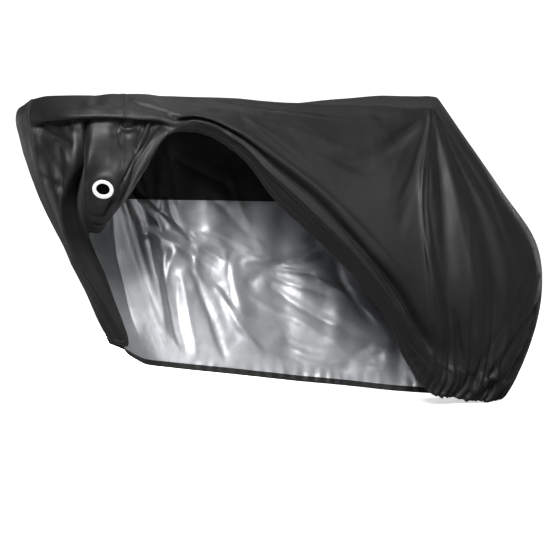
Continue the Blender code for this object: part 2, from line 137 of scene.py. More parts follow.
NEAR = (
    Section("nose_seam", (-895, 100, 1088), (-900, -100, 1092), (-905, -105, 1072),
            (-910, -110, 1049), (-910, -110, 1026), (-905, -112, 996),
            (-880, -112, 870), (-795, -95, 645), (-585, -40, 255)),
    Section("front_1", (-830, 150, 1125), (-850, -150, 1100), (-855, -180, 1070),
            (-855, -200, 1045), (-850, -210, 1016), (-845, -182, 1006),
            (-840, -198, 865), (-811, -165, 689), (-555, -55, 265)),
    Section("front_2", (-745, 190, 1135), (-795, -185, 1100), (-800, -225, 1065),
            (-805, -255, 1044), (-800, -265, 1018), (-795, -238, 1008),
            (-795, -235, 880), (-809, -182, 725), (-585, -70, 345)),
    Section("valley_edge", (-675, 215, 1145), (-760, -205, 1100), (-760, -245, 1065),
            (-765, -275, 1046), (-765, -285, 1022), (-759, -260, 1008),
            (-753, -228, 884), (-788, -168, 760), (-615, -80, 420)),
    Section("valley", (-630, 225, 1145), (-725, -215, 1100), (-735, -255, 1070),
            (-740, -285, 1049), (-740, -295, 1023), (-733, -236, 1010),
            (-726, -155, 890), (-745, -100, 757), (-645, -74, 510)),
    Section("bulge_edge", (-595, 230, 1150), (-695, -222, 1100), (-705, -265, 1065),
            (-710, -295, 1049), (-710, -302, 1024), (-720, -273, 1009),
            (-741, -288, 828), (-738, -224, 708), (-709, -148, 641)),
    Section("bulge", (-545, 235, 1150), (-660, -232, 1105), (-670, -275, 1070),
            (-670, -300, 1049), (-675, -310, 1023), (-675, -290, 1008),
            (-695, -345, 824), (-693, -240, 672), (-683, -210, 646)),
    Section("side_seam", (-480, 240, 1155), (-615, -247, 1105), (-620, -285, 1070),
            (-625, -315, 1047), (-620, -322, 1020), (-620, -298, 1007),
            (-630, -348, 840), (-647, -306, 742), (-659, -286, 694)),
    Section("flap_a", (-390, 243, 1155), (-540, -260, 1105), (-550, -297, 1070),
            (-555, -323, 1044), (-560, -330, 1018), (-556, -308, 1006),
            (-576, -340, 906), (-600, -335, 820), (-614, -320, 755)),
    Section("flap_b", (-330, 244, 1150), (-490, -266, 1100), (-500, -303, 1065),
            (-505, -328, 1042), (-510, -335, 1015), (-509, -316, 1004),
            (-522, -336, 951), (-541, -340, 897), (-563, -332, 842)),
    Section("flap_end", (-280, 245, 1150), (-450, -270, 1100), (-455, -307, 1065),
            (-460, -333, 1032), (-462, -340, 1003), (-463, -334, 989),
            (-470, -334, 979), (-481, -334, 969), (-494, -330, 959)),
    Section("hem_1", (-200, 245, 1155), (-390, -270, 1100), (-390, -307, 1065),
            (-390, -333, 1038), (-391, -342, 1012), (-389, -338, 1003),
            (-390, -330, 994), (-392, -319, 987), (-396, -308, 981)),
    Section("hem_2", (-70, 244, 1155), (-265, -266, 1100), (-260, -312, 1050),
            (-250, -338, 1000), (-235, -347, 955), (-230, -340, 943),
            (-227, -329, 932), (-227, -314, 921), (-229, -298, 910)),
    Section("hem_3", (60, 242, 1155), (-130, -260, 1095), (-125, -312, 1005),
            (-105, -337, 910), (-75, -347, 805), (-76, -339, 790),
            (-79, -324, 777), (-85, -305, 765), (-91, -284, 755)),
    Section("hem_4", (170, 240, 1155), (5, -250, 1095), (25, -307, 960),
            (50, -335, 820), (87, -342, 665), (87, -335, 650),
            (84, -320, 638), (77, -300, 628), (69, -279, 620)),
    Section("hem_5", (345, 225, 1177), (170, -225, 1100), (190, -295, 900),
            (215, -325, 700), (252, -315, 505), (251, -307, 493),
            (247, -291, 483), (241, -270, 475), (234, -249, 470)),
    Section("hem_6", (490, 205, 1190), (325, -200, 1105), (335, -290, 860),
            (360, -315, 610), (390, -275, 365), (388, -267, 348),
            (384, -250, 334), (377, -229, 323), (368, -209, 315)),
    Section("hem_7", (585, 190, 1193), (440, -175, 1105), (430, -285, 820),
            (440, -305, 545), (465, -235, 260), (461, -228, 240),
            (453, -215, 225), (444, -199, 210), (434, -182, 195)),
    Section("gather_1", (650, 175, 1193), (525, -155, 1110), (500, -285, 800),
            (510, -300, 490), (570, -195, 175), (570, -188, 145),
            (565, -180, 115), (555, -170, 90), (545, -160, 65)),
    Section("gather_2", (668, 172, 1194), (565, -140, 1110), (580, -270, 795),
            (605, -295, 475), (660, -185, 155), (660, -173, 125),
            (655, -160, 95), (640, -147, 70), (625, -135, 50)),
    Section("gather_3", (680, 166, 1194), (595, -100, 1125), (665, -240, 800),
            (715, -280, 465), (750, -170, 140), (745, -157, 110),
            (735, -143, 80), (720, -130, 55), (705, -120, 35)),
    Section("rear_1", (690, 158, 1192), (625, -50, 1142), (757, -195, 805),
            (840, -235, 450), (825, -145, 120), (820, -130, 90),
            (815, -115, 65), (800, -103, 40), (785, -95, 25)),
    Section("rear_2", (698, 148, 1190), (660, 25, 1165), (838, -120, 815),
            (962, -150, 560), (912, -95, 110), (896, -85, 75),
            (880, -75, 55), (870, -65, 35), (850, -55, 20)),
    Section("rear_seam", (704, 136, 1186), (704, 136, 1186), (902, -25, 820),
            (1045, -40, 612), (968, -30, 115), (950, -25, 80),
            (930, -20, 50), (915, -10, 30), (895, 0, 20)),
)
LAST = len(NEAR) - 1

# The front strip between the nose seam and the far side: middle, then far edge,
# from the top down.
STRIP_MIDDLE = ((-911, 0, 1082), (-926, 0, 1064), (-932, 0, 1038), (-931, 0, 1016),
                (-925, 0, 985), (-898, 0, 879), (-800, 0, 660), (-607, 0, 262))
STRIP_FAR = ((-895, 100, 1088), (-903, 100, 1068), (-907, 100, 1045), (-906, 100, 1025),
             (-902, 100, 995), (-874, 100, 887), (-773, 90, 655), (-539, 60, 232))

FAR = (
    FarSection(1, (-722, 128, 620), (-520, 78, 216)),
    FarSection(2, (-668, 168, 600), (-495, 108, 202)),
    FarSection(4, (-580, 238, 575), (-440, 182, 174)),
    FarSection(7, (-455, 278, 555), (-350, 226, 156)),
    FarSection(10, (-270, 293, 545), (-220, 241, 138)),
    FarSection(12, (-70, 300, 540), (-60, 250, 118)),
    FarSection(14, (165, 302, 535), (160, 252, 90)),
    FarSection(16, (440, 300, 525), (410, 241, 62)),
    FarSection(17, (550, 297, 515), (520, 229, 48)),
    FarSection(18, (660, 290, 505), (620, 213, 38)),
    FarSection(19, (765, 274, 490), (700, 195, 32)),
    FarSection(20, (865, 246, 480), (770, 166, 28)),
    FarSection(21, (955, 190, 475), (830, 126, 25)),
    FarSection(22, (1020, 95, 470), (875, 70, 22)),
)

# Folds that run down the near side. Mark 0 is the top crease, 3 the lip, 7 the hem.
DOWN_FOLDS = (
    Fold("sharp crease", ((18.7, 0.1), (18.0, 0.6), (17.67, 1.2), (17.67, 2.4), (17.95, 3.2)),
          0.34, 9),
    Fold("beside the crease", ((18.9, 0.1), (18.6, 0.8), (18.52, 1.5), (18.55, 2.5), (18.7, 3.2)),
          0.50, -17),
    Fold("second ridge", ((19.2, 0.1), (19.35, 1.0), (19.6, 2.0), (19.6, 2.9)), 0.50, 5),
    Fold("rear hollow", ((19.6, 0.15), (20.2, 1.0), (20.4, 2.0), (20.2, 3.0)), 0.5, -9),
    Fold("rear ridge", ((19.8, 0.15), (20.4, 0.9), (20.7, 1.7), (20.4, 2.9)), 0.5, 8),
    Fold("rear trough", ((20.6, 0.2), (21.3, 1.0), (21.6, 2.0), (21.0, 3.1)), 0.5, -8),
    Fold("left ridge", ((18.4, 0.1), (16.9, 0.6), (16.2, 0.95), (15.6, 1.6)), 0.42, 1),
    Fold("left crease", ((18.6, 0.1), (17.2, 0.8), (16.8, 1.1), (16.0, 1.8)), 0.3, -5),
    Fold("shoulder trough", ((18.2, 0.08), (16.8, 0.35), (15.7, 0.72), (14.8, 1.2)), 0.62, -12),
    Fold("low trough", ((22.4, 2.2), (22.0, 2.8), (21.2, 3.6), (20.6, 5.5)), 0.4, -12),
    Fold("low ridge", ((21.6, 2.0), (21.0, 2.8), (20.3, 3.8), (19.9, 5.5)), 0.4, 9),
    Fold("flap trough", ((9.3, 3.5), (8.8, 4.4), (8.1, 5.2), (7.6, 6.1), (7.3, 6.8)), 0.55, -11),
    Fold("flap pleat 1", ((7.9, 3.25), (7.9, 3.8), (7.7, 4.6)), 0.5, -9),
    Fold("flap pleat 2", ((6.6, 3.2), (6.6, 3.7), (6.5, 4.3)), 0.5, -6),
    Fold("front hollow", ((1.2, 3.4), (1.5, 4.6), (1.6, 5.6)), 0.5, -10),
    Fold("front ridge", ((2.3, 3.4), (2.4, 4.5), (2.5, 5.4)), 0.5, 8),
    *(Fold("gather", ((top, 3.0), (hem, 5.0), (hem, 7.0)), 0.3, depth) for top, hem, depth in (
        (18.3, 18.0, -7), (18.9, 18.7, 6), (19.5, 19.3, -8), (20.0, 20.0, 6), (20.8, 20.7, -7),
        (21.5, 21.3, 6), (22.2, 22.0, -6))),
)

# Folds that run along the near side.
ALONG_FOLDS = (
    Fold("top trough", ((11.5, 0.30), (13.0, 0.22), (14.5, 0.20), (16.5, 0.16)), 0.14, -8),
    Fold("front draw", ((9.4, 2.1), (10.4, 2.5), (12.2, 2.6), (13.0, 2.4), (13.8, 2.45),
          (15.0, 2.72), (16.0, 2.84), (17.2, 2.86), (18.2, 2.9)), 0.22, -32),
    Fold("hem roll", ((11.0, 3.6), (14.0, 4.2), (17.0, 4.4), (18.5, 4.6)), 1.0, 4),
)

# Soft folds of the far side, seen from within. Mark 0 is the ridge, 7 the hem.
FAR_FOLDS = (
    Fold("far 1", ((5.0, 3.0), (6.5, 4.5), (8.0, 6.6)), 0.7, -14),
    Fold("far 2", ((9.0, 1.5), (8.6, 4.0), (9.4, 6.6)), 0.7, 12),
    Fold("far 3", ((11.5, 1.5), (11.2, 3.5), (12.4, 6.6)), 0.7, -14),
    Fold("far 4", ((14.0, 1.2), (13.6, 3.5), (13.8, 6.6)), 0.7, 12),
    Fold("far 5", ((17.4, 0.6), (16.0, 3.0), (15.2, 6.6)), 0.7, -14),
    Fold("far 6", ((18.4, 0.6), (18.0, 3.0), (17.6, 6.6)), 0.5, 12),
    Fold("far 7", ((19.6, 0.6), (19.8, 3.0), (19.4, 6.6)), 0.5, -12),
    Fold("far 8", ((20.8, 0.8), (21.2, 3.0), (20.6, 6.6)), 0.5, 10),
)

# Finer creases of the near side.
CREASES = (
    Crease("crease edge", ((18.6, 0.05), (17.95, 0.4), (17.5, 0.8), (17.25, 1.2), (17.5, 1.8),
            (17.85, 2.1), (18.0, 2.5), (18.3, 3.0), (19.0, 4.0)), 10, 11),
    Crease("crease side", ((18.8, 0.05), (18.3, 0.4), (17.9, 0.8), (17.75, 1.2), (18.05, 1.7),
            (18.3, 2.1), (18.45, 2.6)), 26, -10),
    Crease("second edge", ((19.1, 0.05), (19.0, 0.4), (19.1, 0.9), (19.2, 1.4), (19.4, 1.8),
            (19.45, 2.5)), 18, 4),
    Crease("left edge", ((18.45, 0.05), (17.1, 0.4), (16.2, 0.9), (15.6, 1.4)), 12, 3),
    Crease("left under", ((18.35, 0.1), (17.5, 0.5), (16.9, 0.9), (15.9, 1.6)), 12, -6),
    Crease("shoulder", ((18.5, 0.05), (16.8, 0.35), (15.8, 0.75), (14.9, 1.3)), 22, -5),
    Crease("right soft", ((19.6, 0.1), (20.1, 0.8), (20.6, 1.3)), 16, 5),
    Crease("right dark", ((19.3, 0.1), (19.5, 0.7), (19.9, 1.3)), 12, -5),
    Crease("pleat mid", ((18.62, 2.3), (18.81, 2.7), (19.0, 4.0), (19.1, 5.5)), 10, -8),
    Crease("pleat lit", ((18.4, 2.5), (18.6, 3.0), (18.75, 4.0)), 10, 6),
    Crease("pleat right", ((19.44, 2.5), (19.5, 3.0), (19.5, 4.6)), 12, 6),
    Crease("pleat far", ((19.9, 2.75), (19.8, 3.4), (19.7, 5.0)), 10, -7),
    Crease("pleat left", ((17.6, 2.6), (18.1, 3.1), (18.56, 4.0)), 10, -7),
    Crease("low band", ((22.8, 2.2), (21.6, 2.28), (21.06, 2.42), (20.5, 2.8), (20.1, 3.2),
            (19.9, 5.0)), 13, 10),
    Crease("low crease 1", ((23.0, 2.4), (21.8, 2.48), (21.1, 2.62), (20.6, 2.95), (20.25, 3.6),
            (20.1, 5.2)), 13, -11),
    Crease("low band 2", ((23.0, 2.58), (21.9, 2.66), (21.2, 2.82), (20.7, 3.2), (20.4, 4.4)),
            12, 7),
    Crease("low crease 2", ((23.0, 2.78), (22.0, 2.84), (21.3, 3.0), (20.8, 3.5), (20.5, 4.9)),
            12, -9),
    Crease("upper crease", ((22.2, 2.05), (21.0, 2.22), (20.3, 2.6), (19.7, 3.2)), 14, -6),
    Crease("draw ridge", ((7.2, 0.6), (8.9, 1.25), (10.4, 2.1), (12.2, 2.2), (13.2, 2.1),
            (14.6, 2.25), (15.8, 2.5), (17.0, 2.55), (18.0, 2.6)), 17, 7),
    Crease("draw start", ((7.4, 1.0), (9.0, 1.75), (10.6, 2.55)), 22, -9),
    Crease("draw crease", ((10.2, 2.5), (11.0, 2.68), (12.2, 2.7), (13.0, 2.5), (14.5, 2.62),
            (16.0, 2.86), (17.2, 2.9), (18.2, 3.0)), 16, -17),
    Crease("hem fold", ((11.6, 3.1), (13.4, 3.0), (15.0, 3.0), (16.5, 3.15), (17.6, 3.5),
            (18.4, 4.0)), 11, 9),
    Crease("hem line", ((11.0, 4.6), (13.0, 4.4), (15.0, 4.3), (17.0, 4.4), (18.4, 5.0)), 9, -9),
    Crease("long soft", ((11.0, 0.9), (13.0, 0.75), (15.5, 0.8), (17.2, 0.6)), 30, 4),
    Crease("lip edge", ((-1.0, 2.95), (3.0, 2.95), (6.0, 2.95), (9.8, 2.95)), 10, 4),
    Crease("lip shadow", ((-1.0, 3.98), (3.0, 3.98), (6.0, 3.98), (9.4, 3.95)), 13, -17),
    Crease("brow", ((-0.3, 3.9), (0.38, 4.06), (1.12, 4.38), (2.12, 4.62), (2.6, 4.7)), 10, -18),
    Crease("brow lit", ((0.1, 3.85), (0.69, 4.0), (1.94, 4.42), (2.4, 4.5)), 10, 9),
    Crease("second brow", ((1.3, 3.8), (1.7, 4.05), (2.12, 4.22), (3.06, 4.42)), 8, -9),
    Crease("brow facet", ((1.0, 4.45), (1.5, 4.6), (1.9, 4.95), (2.3, 5.25)), 14, 7),
    Crease("slant", ((-0.2, 5.1), (0.88, 5.31), (1.8, 5.55), (2.75, 5.81)), 9, -13),
    Crease("slant lit", ((0.1, 5.0), (0.88, 5.2), (1.8, 5.43), (2.6, 5.65)), 8, 5),
    Crease("nose shade", ((0.2, 4.15), (0.88, 4.75), (1.56, 5.31), (1.9, 5.7)), 20, -8),
    Crease("front edge", ((2.9, 4.1), (3.06, 4.44), (3.06, 4.88), (3.1, 5.3)), 12, 6),
    Crease("flap side", ((5.19, 4.1), (5.0, 4.88), (5.12, 5.62), (5.31, 6.0)), 10, 6),
    Crease("pocket", ((6.5, 3.7), (6.69, 3.95), (6.88, 4.14), (7.31, 4.19), (7.62, 4.14),
            (7.85, 3.8)), 8, -14),
    Crease("pocket lit", ((6.8, 4.28), (7.3, 4.34), (7.7, 4.26)), 8, 6),
    Crease("pocket tail", ((6.55, 3.95), (6.7, 4.25), (6.88, 4.6)), 8, -7),
    Crease("bulge soft", ((6.5, 4.1), (6.35, 4.6), (6.2, 5.0)), 16, -5),
    Crease("side pleat 1", ((8.1, 3.8), (8.0, 4.12), (7.69, 4.56), (7.5, 4.9)), 8, -13),
    Crease("side ridge", ((8.5, 3.8), (8.3, 4.2), (7.95, 4.6), (7.7, 4.85)), 8, 8),
    Crease("side pleat 2", ((8.9, 3.8), (8.75, 4.06), (8.38, 4.6), (7.75, 5.0), (7.2, 5.2),
            (6.8, 5.5), (6.35, 5.9), (6.1, 6.2)), 9, -15),
    Crease("band lit", ((9.2, 4.1), (8.9, 4.7), (8.3, 5.3), (7.7, 5.8), (7.0, 6.2)), 9, 6),
    Crease("band crease", ((8.9, 5.0), (8.2, 5.7), (7.5, 6.1), (6.8, 6.4)), 7, -5),
    Crease("low flap 1", ((5.1, 5.85), (5.6, 5.86), (6.1, 5.84), (6.4, 5.95)), 8, -7),
    Crease("low flap 2", ((5.3, 6.15), (5.8, 6.2), (6.2, 6.3)), 8, -6),
)

# Finer creases of the far side, seen from within.
FAR_CREASES = (
    Crease("far 1", ((7.4, 5.2), (8.4, 5.0), (9.4, 4.94), (10.3, 5.06), (11.4, 5.3)), 20, 16),
    Crease("far 2", ((7.6, 4.9), (8.2, 4.75), (9.7, 4.44), (11.2, 4.6)), 24, -10),
    Crease("far 3", ((12.4, 5.4), (13.0, 4.81), (13.6, 3.6), (14.2, 2.9), (15.4, 2.5)), 24, 18),
    Crease("far 4", ((12.2, 4.6), (13.0, 4.0), (13.8, 2.9), (14.8, 2.5)), 26, -10),
    Crease("far 5", ((11.0, 2.3), (11.6, 2.5), (12.2, 2.69), (13.2, 2.8)), 18, 11),
    Crease("far 6", ((9.4, 5.0), (9.0, 5.44), (8.9, 6.19), (9.0, 6.8)), 18, 11),
    Crease("far 7", ((11.2, 5.6), (11.5, 5.94), (12.1, 6.31), (13.1, 6.7)), 20, -9),
    Crease("far 8", ((13.2, 5.0), (13.9, 5.31), (14.9, 5.69), (16.4, 5.9)), 22, 14),
    Crease("far 9", ((13.6, 6.3), (14.2, 6.38), (15.5, 6.38), (17.9, 6.0)), 14, 9),
    Crease("far 10", ((14.0, 6.5), (14.4, 6.56), (15.8, 6.62), (17.9, 6.38)), 14, -7),
    Crease("far 11", ((15.3, 2.6), (15.5, 3.2), (15.9, 4.44), (16.8, 5.3)), 20, 13),
    Crease("far 12", ((10.3, 5.3), (10.6, 5.88), (11.1, 6.44), (11.4, 6.9)), 18, 11),
    Crease("far 13", ((5.6, 5.0), (5.4, 5.56), (5.2, 6.25), (4.8, 6.8)), 16, 9),
    Crease("far 14", ((6.6, 3.4), (7.6, 4.2), (8.1, 5.4), (7.9, 6.6)), 22, -10),
    Crease("far 15", ((9.2, 2.6), (9.6, 3.6), (10.4, 4.4), (12.0, 5.0)), 18, 9),
    Crease("far 16", ((16.2, 3.4), (17.2, 4.2), (18.2, 4.6), (19.4, 4.7)), 22, 10),
    Crease("far 17", ((18.6, 0.9), (18.3, 2.0), (18.6, 3.4), (18.4, 5.0)), 20, -8),
    Crease("far 18", ((19.3, 1.0), (20.0, 2.2), (20.2, 3.6), (19.6, 5.6)), 22, 9),
)


def chord_knots(points: np.ndarray) -> np.ndarray:
    """Space knots by the distance between successive points.

    Args:
        points: points as (number, 3).

    Returns:
        One rising knot for each point, from 0.
    """
    steps = np.linalg.norm(np.diff(points, axis=0), axis=1)
    return np.concatenate([[0.0], np.cumsum(np.maximum(steps, 1e-6))])


def spline(points: np.ndarray, knots: np.ndarray, at: np.ndarray) -> np.ndarray:
    """Read a smooth curve that passes through the points.

    Args:
        points: points as (number, values).
        knots: the knot of each point.
        at: where the curve is read.

    Returns:
        The curve's values at those knots.
    """
    points = np.asarray(points, float)
    gaps = np.diff(knots)
    slopes = np.diff(points, axis=0) / gaps[:, None]
    tangents = np.empty_like(points)
    tangents[0], tangents[-1] = slopes[0], slopes[-1]
    before, after = gaps[:-1, None], gaps[1:, None]
    tangents[1:-1] = (slopes[:-1] * after + slopes[1:] * before) / (before + after)
    index = np.clip(np.searchsorted(knots, at, side="right") - 1, 0, len(gaps) - 1)
    gap = gaps[index][:, None]
    t = ((at - knots[index]) / gaps[index])[:, None]
    return (
        (2 * t**3 - 3 * t**2 + 1) * points[index]
        + (t**3 - 2 * t**2 + t) * gap * tangents[index]
        + (3 * t**2 - 2 * t**3) * points[index + 1]
        + (t**3 - t**2) * gap * tangents[index + 1]
    )


def along_sections(rows: np.ndarray, knots: np.ndarray, at: np.ndarray) -> np.ndarray:
    """Read the marks of every wanted column.

    Args:
        rows: the tabled marks as (sections, marks, 3).
        knots: the knot of each tabled section.
        at: the section number of each column.

    Returns:
        The marks as (columns, marks, 3).
    """
    place = np.interp(at, np.arange(len(knots)), knots)
    return np.stack([spline(rows[:, k], knots, place) for k in range(rows.shape[1])], axis=1)


def near_marks() -> np.ndarray:
    """Return the near side's marks from the crease to the hem."""
    return np.array([row[2:] for row in NEAR], float)


def far_marks() -> np.ndarray:
    """Return the far side's marks from the ridge to the hem, one set a section."""
    near = near_marks()
    first, last = np.array(STRIP_FAR, float), near[-1]
    ends = [chord_knots(first) / chord_knots(first)[-1], chord_knots(last) / chord_knots(last)[-1]]
    places = np.array([row.at for row in FAR], float)
    shape = np.array([[row.belly, row.hem] for row in FAR], float).reshape(len(FAR), -1)
    marks = np.empty_like(near)
    marks[0], marks[-1] = first, last
    for s in range(1, LAST):
        belly, hem = spline(shape, places, np.array([float(s)]))[0].reshape(2, 3)
        run = np.array([NEAR[s].ridge, belly, hem], float)
        share = s / LAST
        at = (1 - share) * ends[0] + share * ends[1]
        knots = chord_knots(run)
        marks[s] = spline(run, knots, at * knots[-1])
    return marks


def top_middles() -> np.ndarray:
    """Return the middle of the top cloth in each section, a little slack."""
    rows = []
    for number, row in enumerate(NEAR):
        middle = (np.array(row.ridge, float) + np.array(row.crease, float)) / 2
        middle[2] -= 6 if 0 < number < LAST else 0
        rows.append(middle)
    rows[0] = np.array(STRIP_MIDDLE[0], float)
    return np.array(rows)


def eased(value: np.ndarray) -> np.ndarray:
    """Return a smooth step from 0 to 1 of values that are cut to that span."""
    value = np.clip(value, 0, 1)
    return value * value * (3 - 2 * value)


def ramp(value: np.ndarray, start: Any, end: Any) -> np.ndarray:
    """Return a smooth change from 0 at the start to 1 at the end, either way round."""
    return eased((value - start) / (end - start))


def bell(value: np.ndarray, at: float, width: float) -> np.ndarray:
    """Return a soft bump that is 1 where the value is at its middle."""
    return np.exp(-(((value - at) / width) ** 2))


def crease_shape(away: np.ndarray) -> np.ndarray:
    """Return a crease's height across it, from widths away: a blunt tip, a soft foot."""
    return np.exp(-1.5 * (np.sqrt(away**2 + 0.02) - 0.14) - 0.15 * away**2)


def unit(vectors: np.ndarray) -> np.ndarray:
    """Return the vectors at length 1, and 0 where they have no length."""
    size = np.linalg.norm(vectors, axis=-1, keepdims=True)
    return np.divide(vectors, size, out=np.zeros_like(vectors), where=size > 1e-9)


def fold_offsets(
    folds: tuple, section: np.ndarray, mark: np.ndarray, along: bool = False
) -> np.ndarray:
    """Add up how far the folds push each point out.

    Args:
        folds: the folds, ridges with a depth over 0.
        section: section number of each point.
        mark: mark number of each point.
        along: whether the folds run along the sections rather than down the marks.

    Returns:
        The push at each point, in millimetres.
    """
    start_share, tail, sharpness = 0.16, 0.35, 2.2
    run, across = (section, mark) if along else (mark, section)
    total = np.zeros_like(section)
    for fold in folds:
        path = np.array(fold.path, float)
        path = path if along else path[:, ::-1]
        start, end = path[0, 0], path[-1, 0]
        away = (across - np.interp(run, path[:, 0], path[:, 1])) / fold.width
        ease = start_share * (end - start)
        fade = np.clip((run - start) / ease, 0, 1) * np.clip((end - run) / ease + tail, 0, 1)
        fade = np.where(run > end + tail * ease, 0, fade)
        total += fold.depth * fade * np.exp(-(away**2) * sharpness)
    return total


def side_facing(grid: np.ndarray) -> np.ndarray:
    """Return the direction across a side whose rows run down from its top."""
    return unit(np.cross(np.gradient(grid, axis=1), np.gradient(grid, axis=0)))


def outward(grid: np.ndarray, top: slice | None = None) -> np.ndarray:
    """Work out the outward direction of the cloth at every point.

    Args:
        grid: points as (columns, rows, 3).
        top: the rows that meet in one point at the rear seam, on a closed grid.

    Returns:
        A direction of length 1 for each point.
    """
    cross = unit(np.cross(grid[1:, 1:] - grid[:-1, :-1], grid[:-1, 1:] - grid[1:, :-1]))
    total = np.zeros_like(grid)
    for part in (np.s_[:-1, :-1], np.s_[1:, :-1], np.s_[:-1, 1:], np.s_[1:, 1:]):
        total[part] += cross
    if top is not None:
        total[-1] += total[-1][::-1].copy()
        total[-1, top] = total[-1, top].sum(axis=0)
    return unit(total)


class Grain(Enum):
    """Kinds of seeded pattern that wrinkle the cloth."""

    SOFT = "soft"
    RIDGED = "ridged"


class Layer(NamedTuple):
    """A seeded pattern, with its size along x, y and z and its depth in mm."""

    grain: Grain
    size: tuple
    seed: float
    depth: float = 1.0

    def at(self, points: np.ndarray) -> np.ndarray:
        """Read the pattern at points in space.

        Args:
            points: points as (..., 3), mm.

        Returns:
            Values from about minus to plus the depth, as (...).
        """
        places = points.reshape(-1, 3) / np.array(self.size, float) + self.seed
        value = np.array([noise.noise(place) for place in places]).reshape(points.shape[:-1])
        # Both kinds are stretched to run from about -1 to 1.
        value = 1 - 2.6 * np.abs(value) if self.grain is Grain.RIDGED else value * 1.6
        return value * self.depth


# Wrinkles of the near side, of the top and of the far side, and of the strip.
NEAR_DRAPE = (Layer(Grain.SOFT, (240, 240, 620), 3.1, 2.6),
              Layer(Grain.SOFT, (80, 80, 260), 7.7, 0.6))
NEAR_RIDGES = Layer(Grain.RIDGED, (120, 120, 330), 21.3)
TOP_DRAPE = (Layer(Grain.RIDGED, (260, 60, 170), 11.9, 2.2),
             Layer(Grain.SOFT, (60, 40, 60), 5.3, 0.8))
TOP_SAG = Layer(Grain.SOFT, (340, 150, 300), 27.7, 5.0)
FAR_DRAPE = (Layer(Grain.SOFT, (330, 330, 280), 41.7, 9.0),
             Layer(Grain.RIDGED, (330, 330, 170), 17.3, 1.5),
             Layer(Grain.RIDGED, (170, 170, 300), 23.9, 1.2),
             Layer(Grain.RIDGED, (90, 90, 70), 9.1, 0.5))
STRIP_DRAPE = Layer(Grain.SOFT, (90, 90, 200), 13.3, 3.5)
STRIP_RIDGES = Layer(Grain.RIDGED, (80, 80, 170), 4.4, 2.0)

# What bends the far side's patterns, one for each axis, and the rows of gathers,
# pleats and puckers, so that none of them is even.
FAR_SWAY = tuple(Layer(Grain.SOFT, (300, 300, 300), 50.0 + axis, 90) for axis in range(3))
GATHER_SWAY = Layer(Grain.SOFT, (90, 90, 160), 2.2)
PLEAT_SWAY = Layer(Grain.SOFT, (160, 160, 260), 61.0)
PUCKER_SWAY = Layer(Grain.SOFT, (120, 120, 120), 31.4)


class Scatter(NamedTuple):
    """A seeded draw of short straight creases on one side.

    It names the spans of sections and marks that they lie in, and the spans of
    their length, width and depth in mm.
    """

    seed: int
    count: int
    sections: tuple
    marks: tuple
    length: tuple
    width: tuple
    depth: tuple
    cell: tuple = (100.0, 150.0)
    bend: float = 0.22
    spill: float = 0.2

    def creases(self) -> tuple:
        """Return the drawn creases, every second one a ridge."""
        draw, made = np.random.default_rng(self.seed), []
        low = np.array((self.sections[0], self.marks[0]))
        high = np.array((self.sections[1], self.marks[1]))
        for number in range(self.count):
            middle, turn = draw.uniform(low, high), draw.uniform(0, math.pi)
            half = draw.uniform(*self.length) / 2
            way = np.array((math.cos(turn), math.sin(turn)))
            across = np.array((-math.sin(turn), math.cos(turn)))
            bend = draw.uniform(-self.bend, self.bend) * half
            path = [middle + (way * step * half + across * bend * (1 - step * step)) / self.cell
                    for step in (-1.0, -0.5, 0.0, 0.5, 1.0)]
            path = tuple(map(tuple, np.clip(path, low - self.spill, high + self.spill)))
            sign = 1 if number % 2 else -1
            width = draw.uniform(*self.width)
            made.append(Crease("scattered", path, width, sign * draw.uniform(*self.depth)))
        return tuple(made)


FAR_SCATTER = (
    Scatter(11, 44, (7.5, 21.5), (1.6, 6.7), (160, 460), (14, 26), (4, 8)),
    Scatter(17, 5, (1.5, 6.0), (1.6, 6.7), (120, 300), (14, 20), (2, 3)),
)
NEAR_SCATTER = (Scatter(29, 34, (9.0, 21.5), (0.3, 2.4), (90, 260), (9, 15), (0.8, 2.2)),)


@dataclass
class Cloth:
    """The cloth of one grid: its points and what each point knows of its place.

    The side is -1 on the near side, 0 on the top and 1 on the far side.
    """

    points: np.ndarray
    section: np.ndarray
    mark: np.ndarray
    side: np.ndarray
    from_hem: np.ndarray
    facing: np.ndarray = field(default_factory=lambda: np.zeros(0))
    along: np.ndarray = field(default_factory=lambda: np.zeros(0))
    down: np.ndarray = field(default_factory=lambda: np.zeros(0))

    def columns(self, first: int, last: int) -> "Cloth":
        """Return the part of the cloth between two columns, both taken in."""
        cut = slice(first, last + 1)
        return Cloth(*(getattr(self, name)[cut].copy() for name in self.__dataclass_fields__))

    def push(self, offsets: np.ndarray) -> None:
        """Move each point along its facing direction, in millimetres."""
        self.points += self.facing * offsets[..., None]

    def measure(self) -> None:
        """Measure each point's way from the rear seam and up from the near hem."""
        steps = np.linalg.norm(np.diff(self.points, axis=0), axis=2)
        start = np.zeros((1, steps.shape[1]))
        self.along = np.concatenate([start, np.cumsum(steps[::-1], axis=0)])[::-1].copy()
        steps = np.linalg.norm(np.diff(self.points, axis=1), axis=2)
        start = np.zeros((len(steps), 1))
        self.down = np.concatenate([start, np.cumsum(steps, axis=1)], axis=1)

    def hem_run(self) -> np.ndarray:
        """Return the way from the rear seam along the hem below each point."""
        return np.where(self.side > 0, self.along[:, -1:], self.along[:, :1])


